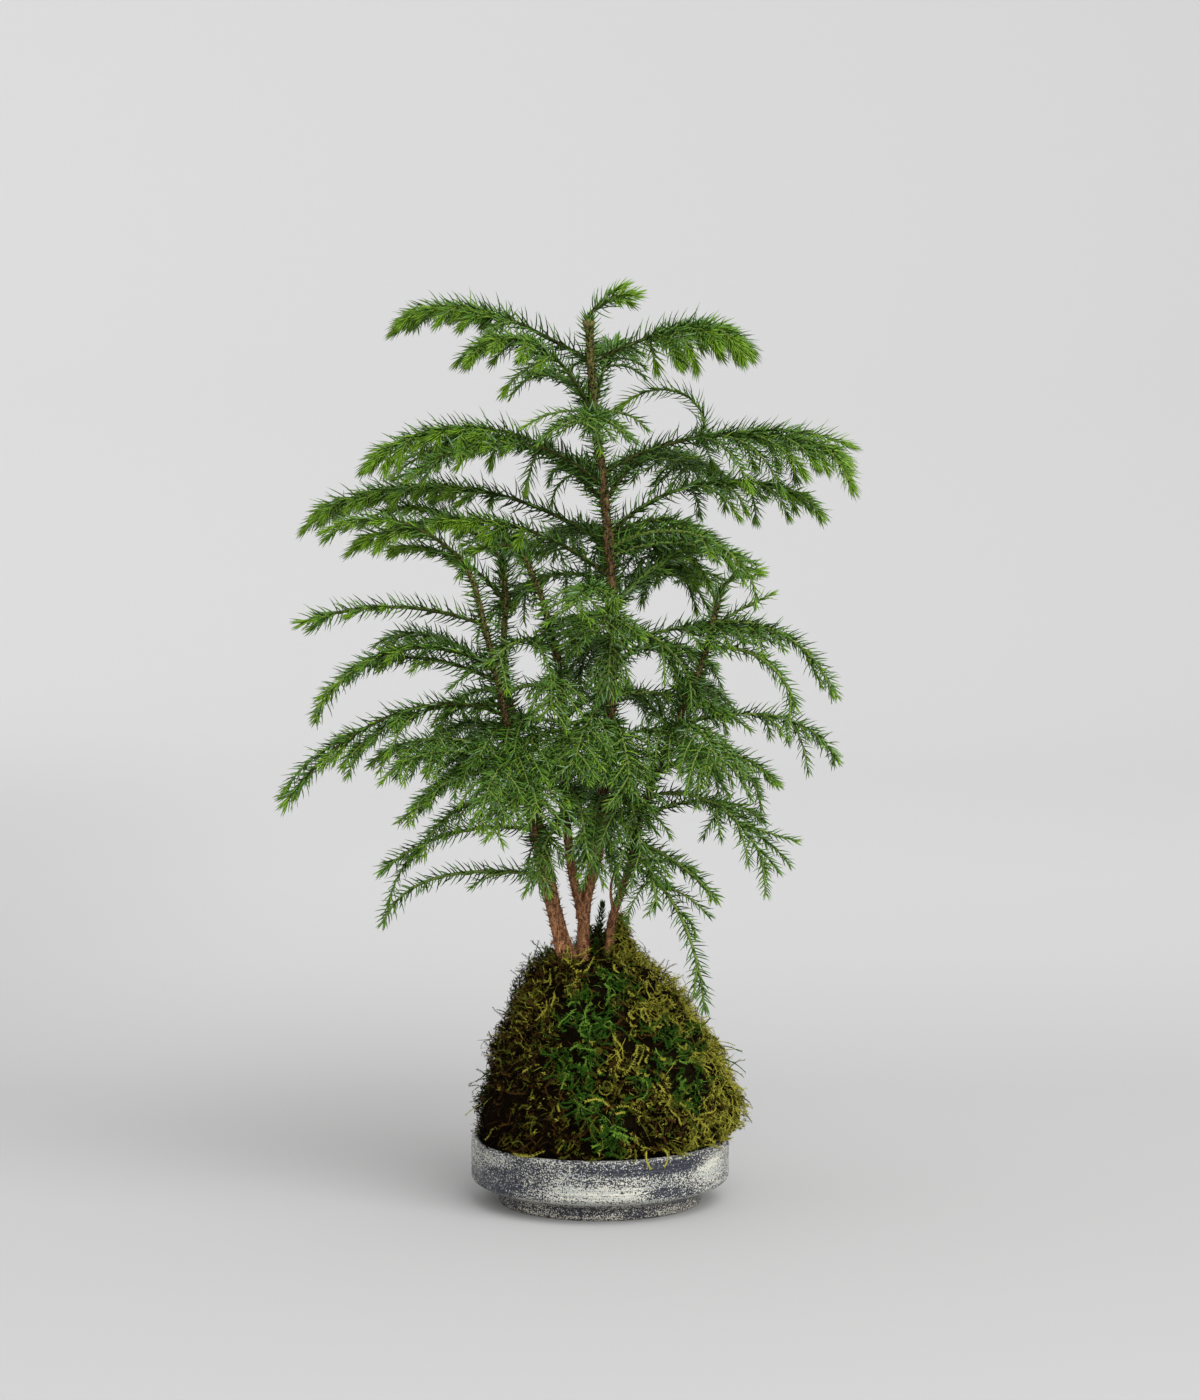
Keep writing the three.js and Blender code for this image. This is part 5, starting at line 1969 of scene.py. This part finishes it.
    def kinds(self, points: Array, depth: float) -> Array:
        """Deal strands into the moss colours by patches.

        A green spot's score falls with the squared distance from it. Elsewhere a sum of sines and
        the side of the ball tell brown from olive and gold: low and left is browner, partly drier moss
        and partly painted shade away from the key, and high and right more golden, partly painted light.
        Depth takes the colours of strands that lie deep down to umber and brown, partly dead moss and
        partly painted shade.

        Args:
            points: Where the strands start.
            depth: From 0, on top, to 1, deep.

        Returns:
            Places in the order of colours.
        """
        x, y, z = points.T
        rng, count = self.rng, len(points)
        spots = np.array(self.green_spots)
        far = np.linalg.norm(points[:, None] - spots[None, :, :3], axis=-1) / spots[:, 3]
        green = np.exp(-far ** 2).max(axis=1) + rng.normal(0, 0.16, count)
        dry = 0.5 * np.sin(x / 13 + y / 17 + 0.4) + 0.5 * np.cos(z / 11 - x / 15)
        # Partly painted light and shade: right and high strands get lighter colours, left, low and deep
        # ones darker.
        level = 0.013 * x + 0.006 * (z - 84) - 0.06 + 0.3 * dry + rng.normal(0, 0.6, count) - 0.9 * depth
        kind = np.digitize(level, (-0.52, -0.12, 0.42))
        kind = np.where(green > 0.42 + 0.4 * depth, MOSS_ORDER.index(Moss.GREEN), kind)
        bright = (green > 0.72 + 0.4 * depth) & (rng.random(count) < 0.55)
        return np.where(bright, MOSS_ORDER.index(Moss.BRIGHT), kind)

    def strand_shell(self, points: Array, radius: Array) -> Shell:
        """Make tapering three-sided strands through points, by strand and step."""
        tangent = unit(np.gradient(points, axis=1))
        side = unit(np.cross(tangent[:, 0], self.rng.normal(0, 1, (len(points), 3))))
        taper = np.interp(np.linspace(0, 1, points.shape[1]), (0, 0.3, 1), (0.75, 1.0, 0.3))
        return swept(points, tangent, side, radius[:, None] * taper, 3)

    def slivers(self, base: Array, way: Array, length: Array) -> Shell:
        """Make leaves as slivers with four faces: a triangle as wide as the leaf, and a tip.

        Args:
            base: Where each leaf starts.
            way: Unit direction to its tip.
            length: Its length.

        Returns:
            One shell with the leaves.
        """
        _, out = self.over(base)
        tip = base + way * length
        flat = unit(np.cross(way, out) + 0.02) * self.leaf_width / 2
        thick = unit(np.cross(flat, way)) * self.leaf_width / 4
        corners = np.stack([base + flat, base - flat, base + thick, tip], axis=1).reshape(-1, 3)
        faces = np.array([[0, 1, 2], [1, 0, 3], [2, 1, 3], [0, 2, 3]])
        faces = (faces[None] + 4 * np.arange(len(base))[:, None, None]).reshape(-1, 3)
        return Shell(corners, np.zeros((0, 4), int), faces)

    def leaves(self, points: Array, pairs: int) -> Shell:
        """Put short leaves on feathery strands, in pairs that are spread evenly along them.

        A leaf goes off along forward cos a + outward sin a.

        Args:
            points: The strands' points, by strand and step.
            pairs: How many pairs of leaves each strand has.

        Returns:
            One shell with the leaves.
        """
        spots = (np.arange(pairs) + 0.6) / pairs * self.steps
        index = np.minimum(spots.astype(int), self.steps - 1)
        moves = np.diff(points, axis=1)[:, index]
        base = (points[:, index] + moves * (spots - index)[:, None]).reshape(-1, 3)
        forward = unit(moves).reshape(-1, 3)
        _, out = self.over(base)
        across = unit(np.cross(out, forward) + 0.02)
        count, rng = len(base), self.rng
        shells = []
        for side in (1, -1):
            outward = unit(across * side + out * rng.uniform(-0.3, 0.9, (count, 1)))
            lean = np.radians(rng.uniform(25, 70, (count, 1)))
            way = forward * np.cos(lean) + outward * np.sin(lean)
            shells.append(self.slivers(base, way, rng.uniform(*self.leaf_length, (count, 1))))
        return Shell.joined(shells)

    def lay(self, points: Array, radius: Array, kinds: Array, feathery: Array, pairs: int) -> None:
        """Add strands to the shells of their colours.

        Args:
            points: Points by strand and step.
            radius: Radius of each strand.
            kinds: Their colours' places in the order of colours.
            feathery: Whether each has leaves.
            pairs: How many pairs of leaves.
        """
        for number, kind in enumerate(MOSS_ORDER):
            plain = (kinds == number) & ~feathery
            leafy = (kinds == number) & feathery
            if plain.any():
                self.shells[kind].append(self.strand_shell(points[plain][:, ::2], radius[plain]))
            if leafy.any():
                self.shells[kind].append(self.strand_shell(points[leafy], radius[leafy]))
                self.shells[kind].append(self.leaves(points[leafy], pairs))

    def lay_coat(self, coat: Coat) -> None:
        """Lay a coat: strands that creep any way from random roots, and rise towards their tips."""
        rng = self.rng
        start = self.scatter(coat.count, self.rim_top + 1)
        start = start[self.filled(start) | (coat.depth > 1)]
        count = len(start)
        _, out = self.over(start)
        direction = rng.normal(0, 1, (count, 3)) - [0, 0, 0.3]
        direction -= out * np.sum(direction * out, axis=-1, keepdims=True)
        height = rng.uniform(*coat.rise, (count, 1))
        rising = np.linspace(0, 1, self.steps) ** 1.5
        height = height + coat.lift * rng.gamma(2.0, 0.5, (count, 1)) * rising
        points = self.creep(
            start, direction, rng.uniform(*coat.length, count), rng.normal(0, coat.curl, count),
            height.clip(-2, 6.5), 0.7, np.full(count, 0.06),
        )
        self.lay(
            points, rng.uniform(*coat.radius, count), self.kinds(start, coat.depth),
            np.full(count, coat.feathery), self.leaf_pairs,
        )

    def tufts(self) -> None:
        """Scatter tufts of short leaves over the ball, which stand out of it every way."""
        rng = self.rng
        start = self.scatter(self.tuft_count, self.rim_top + 1)
        start = start[self.filled(start)]
        over, out = self.over(start)
        rise = self.clump(start) - over + rng.uniform(-0.8, 2.6, len(start))
        start = start + out * rise[:, None]
        kinds = np.repeat(self.kinds(start, 0.0), self.tuft_leaves)
        base = np.repeat(start, self.tuft_leaves, axis=0)
        count = len(base)
        base = base + rng.normal(0, 0.5, (count, 3))
        way = unit(np.repeat(out, self.tuft_leaves, axis=0) * 0.7 + rng.normal(0, 0.8, (count, 3)))
        length = rng.uniform(*self.tuft_length, (count, 1))
        for number, kind in enumerate(MOSS_ORDER):
            mine = kinds == number
            if mine.any():
                self.shells[kind].append(self.slivers(base[mine], way[mine], length[mine]))

    def loose_strands(self) -> None:
        """Lay the strands that stand away from the ball at random."""
        rng, count = self.rng, self.flyaways
        start = self.scatter(count, self.rim_top + 6)
        _, out = self.over(start)
        away = out * rng.uniform(0.4, 1.2, (count, 1)) + rng.normal(0, 0.55, (count, 3))
        points = self.creep(
            start, away, rng.uniform(*self.fly_length, count), rng.normal(0, 0.45, count),
            np.zeros((count, self.steps)), 0.0, np.full(count, 0.1),
        )
        self.lay(
            points, rng.uniform(*self.fly_radius, count), self.kinds(start, 0.1),
            rng.random(count) < 0.6, self.leaf_pairs,
        )

    def heap(self, mound: Mound) -> Shell:
        """Heap up a mound and lay fronds down its sides.

        A frond starts at radius r from the cone's axis and height (1 - r) ** steepness, as shares of
        the cone's sizes.

        Args:
            mound: The mound.

        Returns:
            Its dark cone, whose near-black colour paints shade between the fronds.
        """
        rng, count = self.rng, mound.fronds
        circle = np.linspace(0, 1, 9)
        profile = np.stack([
            0.9 * mound.radius * circle, (mound.height - 4) * (1 - circle) ** mound.steepness,
        ], axis=-1)
        cone = turned(np.concatenate([
            [[0, -4]], [[mound.radius, -4]], profile[:0:-1], [[0, profile[0, 1]]],
        ]), 24)
        share = rng.random(count) ** 0.75
        angle = 2 * np.pi * rng.random(count)
        spoke = level_ways(angle)
        start = spoke * (mound.radius * share)[:, None] + mound.foot
        start[:, 2] += mound.height * (1 - share) ** mound.steepness - 1.5
        way = spoke * 0.8 + rng.normal(0, 0.7, (count, 3))
        way[:, 2] += 0.5 * (1 - share)
        points = self.creep(
            start, way, rng.uniform(*mound.frond_length, count), rng.normal(0, 0.4, count),
            np.zeros((count, self.steps)), 0.0, np.full(count, 0.2),
        )
        kinds = rng.choice([MOSS_ORDER.index(kind) for kind in mound.kinds], count)
        radius = rng.uniform(*mound.frond_radius, count)
        self.lay(points, radius, kinds, rng.random(count) < 0.5, self.leaf_pairs)
        return Shell(cone.points + mound.foot, cone.quads, cone.triangles)

    def strays(self) -> None:
        """Lay the strands that stand out one by one."""
        angles, heights, ways, lengths, curls, droops, kinds, feathery = zip(*map(astuple, STRAYS))
        angle, height = np.radians(angles), np.array(heights, float)
        radius = np.interp(height, self.corners[1:-1, 1], self.corners[1:-1, 0]) - 1
        start = np.stack([
            radius * np.cos(angle) + self.shift(height), radius * np.sin(angle), height,
        ], axis=-1)
        count = len(STRAYS)
        points = self.creep(
            start, np.array(ways), np.array(lengths, float), np.array(curls),
            np.zeros((count, self.steps)), 0.0, np.array(droops),
        )
        order = np.array([MOSS_ORDER.index(kind) for kind in kinds])
        radii = np.full(count, self.stray_radius)
        self.lay(points, radii, order, np.array(feathery), self.stray_pairs)

    def core(self) -> Shell:
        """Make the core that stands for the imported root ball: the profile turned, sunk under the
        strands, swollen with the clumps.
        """
        _, radius, height = self.outline(90)
        shell = turned(np.stack([radius, height], axis=-1), 150)
        points = shell.points.copy()
        free = points[:, 2] > self.rim_top + 2
        points[:, 0] += np.where(free, self.shift(points[:, 2]), 0)
        over, out = self.over(points)
        sunk = np.where(free, 1.2 * self.clump(points) - over, 0) - self.core_depth
        points += out * sunk[:, None]
        points[:, 2] = np.maximum(points[:, 2], self.bottom)
        return Shell(points, shell.quads, shell.triangles)

    def build(self) -> None:
        """Make the core, its coats from the deep mat outwards, and the strands that stand out."""
        # The near-black core shows through the gaps and pits as painted shade.
        add_piece("moss_core", self.core(), HUMUS_AND_PAINTED_SHADE.build(), ("root_ball",))
        for coat in (self.mat, self.fronds, self.shreds):
            self.lay_coat(coat)
        self.tufts()
        self.lay_coat(self.strings)
        self.loose_strands()
        cones = Shell.joined([self.heap(mound) for mound in self.mounds])
        # The mound cores are as dark: painted shade between the fronds.
        add_piece("moss_mound_cores", cones, HUMUS_AND_PAINTED_SHADE.build())
        self.strays()
        for kind, shells in self.shells.items():
            add_piece(f"moss_{kind.value}", Shell.joined(shells), MOSS_FINISHES[kind].build())


# ---------------- dish


@dataclass
class Dish:
    """The shallow thrown dish: a foot ring, an undercut, an upright wall and a rounded rim."""

    radius: float = 70.0
    height: float = 35.6
    wall: float = 4.6
    floor_top: float = 8.0
    foot_radius: float = 55.5
    foot_height: float = 9.0
    shoulder: float = 15.0
    shoulder_round: float = 6.0
    shoulder_high: float = 4.6
    wall_inset: float = 0.12
    sides: int = 200

    def profile(self) -> Array:
        """Give the section: foot, undercut, rounded shoulder, wall with throwing rings, rim, inside."""
        rim, inside = self.wall / 2, self.radius - self.wall
        turn = np.linspace(0, np.pi, 13)
        corner = np.linspace(-np.pi / 2, 0, 9)
        wall_z = np.linspace(self.shoulder + 1, self.height - rim - 1, 46)
        ripple = 0.10 * np.sin(wall_z * 2.3) + 0.07 * np.sin(wall_z * 5.1 + 1)
        foot, top = self.foot_radius, self.foot_height
        parts = [
            [(0, 0), (foot - 1.2, 0), (foot - 0.4, 0.3), (foot, 1.0)],
            [(foot + 0.15, 3.0), (foot - 0.25, 4.1), (foot + 0.1, 5.2)],
            [(foot, top - 1.6), (foot - 0.8, top - 0.5)],
            [(foot - 0.6, top + 0.2), (foot + 3.5, top + 0.9)],
            np.stack([
                self.radius - self.shoulder_round + self.shoulder_round * np.cos(corner),
                self.shoulder + 0.2 + self.shoulder_high * np.sin(corner),
            ], axis=-1),
            np.stack([self.radius - self.wall_inset + ripple, wall_z], axis=-1),
            np.stack([
                self.radius - rim + rim * np.cos(turn), self.height - rim + rim * np.sin(turn),
            ], axis=-1),
            [(inside, self.floor_top + 4), (inside - 5, self.floor_top), (0, self.floor_top)],
        ]
        return np.concatenate([np.array(part, float) for part in parts])

    def build(self) -> None:
        """Turn the dish, with the slight wander of hand throwing, and glaze it."""
        shell = turned(self.profile(), self.sides)
        x, y, z = shell.points.T
        angle = np.arctan2(y, x)
        rise = np.clip(z / self.height, 0, 1)
        wander = 1 + rise * (0.0032 * np.sin(2 * angle + 0.7) + 0.0014 * np.sin(5 * angle + 2))
        tilt = rise ** 2 * 0.45 * np.cos(angle - 0.4)
        points = np.stack([x * wander, y * wander, z + np.where(z > 1.5, tilt, 0)], axis=-1)
        add_piece(
            "dish_glazed", Shell(points, shell.quads, shell.triangles), GlazeFinish().build(),
            ("dish",),
        )


# ---------------- studio


@dataclass
class Studio:
    """A seamless grey sweep, one broad soft light from the front right, and the camera."""

    half_width: float = 4500.0
    front: float = -3200.0
    bend_start: float = 1900.0
    bend_radius: float = 1300.0
    wall_top: float = 4200.0
    key_place: Point = (2000.0, -2900.0, 2900.0)
    key_aim: Point = (0.0, 0.0, 200.0)
    key_size: float = 4600.0
    key_power: float = 226.0
    sky: float = 0.85
    distance: float = 2200.0
    eye_height: float = 500.0
    aim_height: float = 273.0
    focal_px: float = 4110.0
    long_side_px: float = 1400.0

    def sweep(self) -> Shell:
        """Make the sweep: a floor, a quarter-round bend of the bend radius, and a wall."""
        turn = np.linspace(0, np.pi / 2, 25)
        y = np.concatenate([[self.front], self.bend_start + self.bend_radius * np.sin(turn)])
        z = np.concatenate([[0], self.bend_radius * (1 - np.cos(turn))])
        y, z = np.append(y, y[-1]), np.append(z, self.wall_top)
        edge = np.stack([np.full(len(y), -self.half_width), y, z], axis=-1)
        other = edge * [-1, 1, 1]
        points = np.stack([edge, other], axis=1).reshape(-1, 3)
        here = 2 * np.arange(len(y) - 1)
        quads = np.stack([here, here + 1, here + 3, here + 2], axis=-1)
        return Shell(points, quads, np.zeros((0, 3), int))

    def build(self) -> None:
        """Make the sweep, the light and the camera."""
        floor = make_object("studio_sweep", self.sweep(), StudioFinish().build())
        scene = bpy.context.scene
        scene.view_settings.view_transform = "Standard"
        world = bpy.data.worlds.new("studio_air")
        world.use_nodes = True
        air = world.node_tree
        fill_inputs(air, air.nodes["Background"], {"Color": (1, 1, 1, 1), "Strength": self.sky})
        scene.world = world
        light = bpy.data.lights.new("key_softbox", "AREA")
        light.shape = "SQUARE"
        light.size = self.key_size * MM
        light.energy = self.key_power
        key = bpy.data.objects.new("key_softbox", light)
        scene.collection.objects.link(key)
        key.location = [part * MM for part in self.key_place]
        aim = np.array(self.key_aim) - np.array(self.key_place)
        flat = math.hypot(aim[0], aim[1])
        key.rotation_euler = (math.pi / 2 + math.atan2(aim[2], flat), 0, math.atan2(-aim[0], aim[1]))
        lens = bpy.data.cameras.new("camera")
        lens.sensor_width = 36.0
        lens.lens = self.focal_px / self.long_side_px * lens.sensor_width
        lens.clip_start, lens.clip_end = 0.05, 50.0
        camera = bpy.data.objects.new("camera", lens)
        scene.collection.objects.link(camera)
        camera.location = (0, -self.distance * MM, self.eye_height * MM)
        pitch = math.atan((self.eye_height - self.aim_height) / self.distance)
        camera.rotation_euler = (math.pi / 2 - pitch, 0, 0)
        scene.camera = camera


def main() -> None:
    """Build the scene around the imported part."""
    logging.basicConfig(level=logging.INFO, format="%(name)s: %(message)s")
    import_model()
    Studio().build()
    Dish().build()
    RootBall().build()
    Woodwork().build()
    Crown().build()
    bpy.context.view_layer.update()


if __name__ == "__main__":
    main()
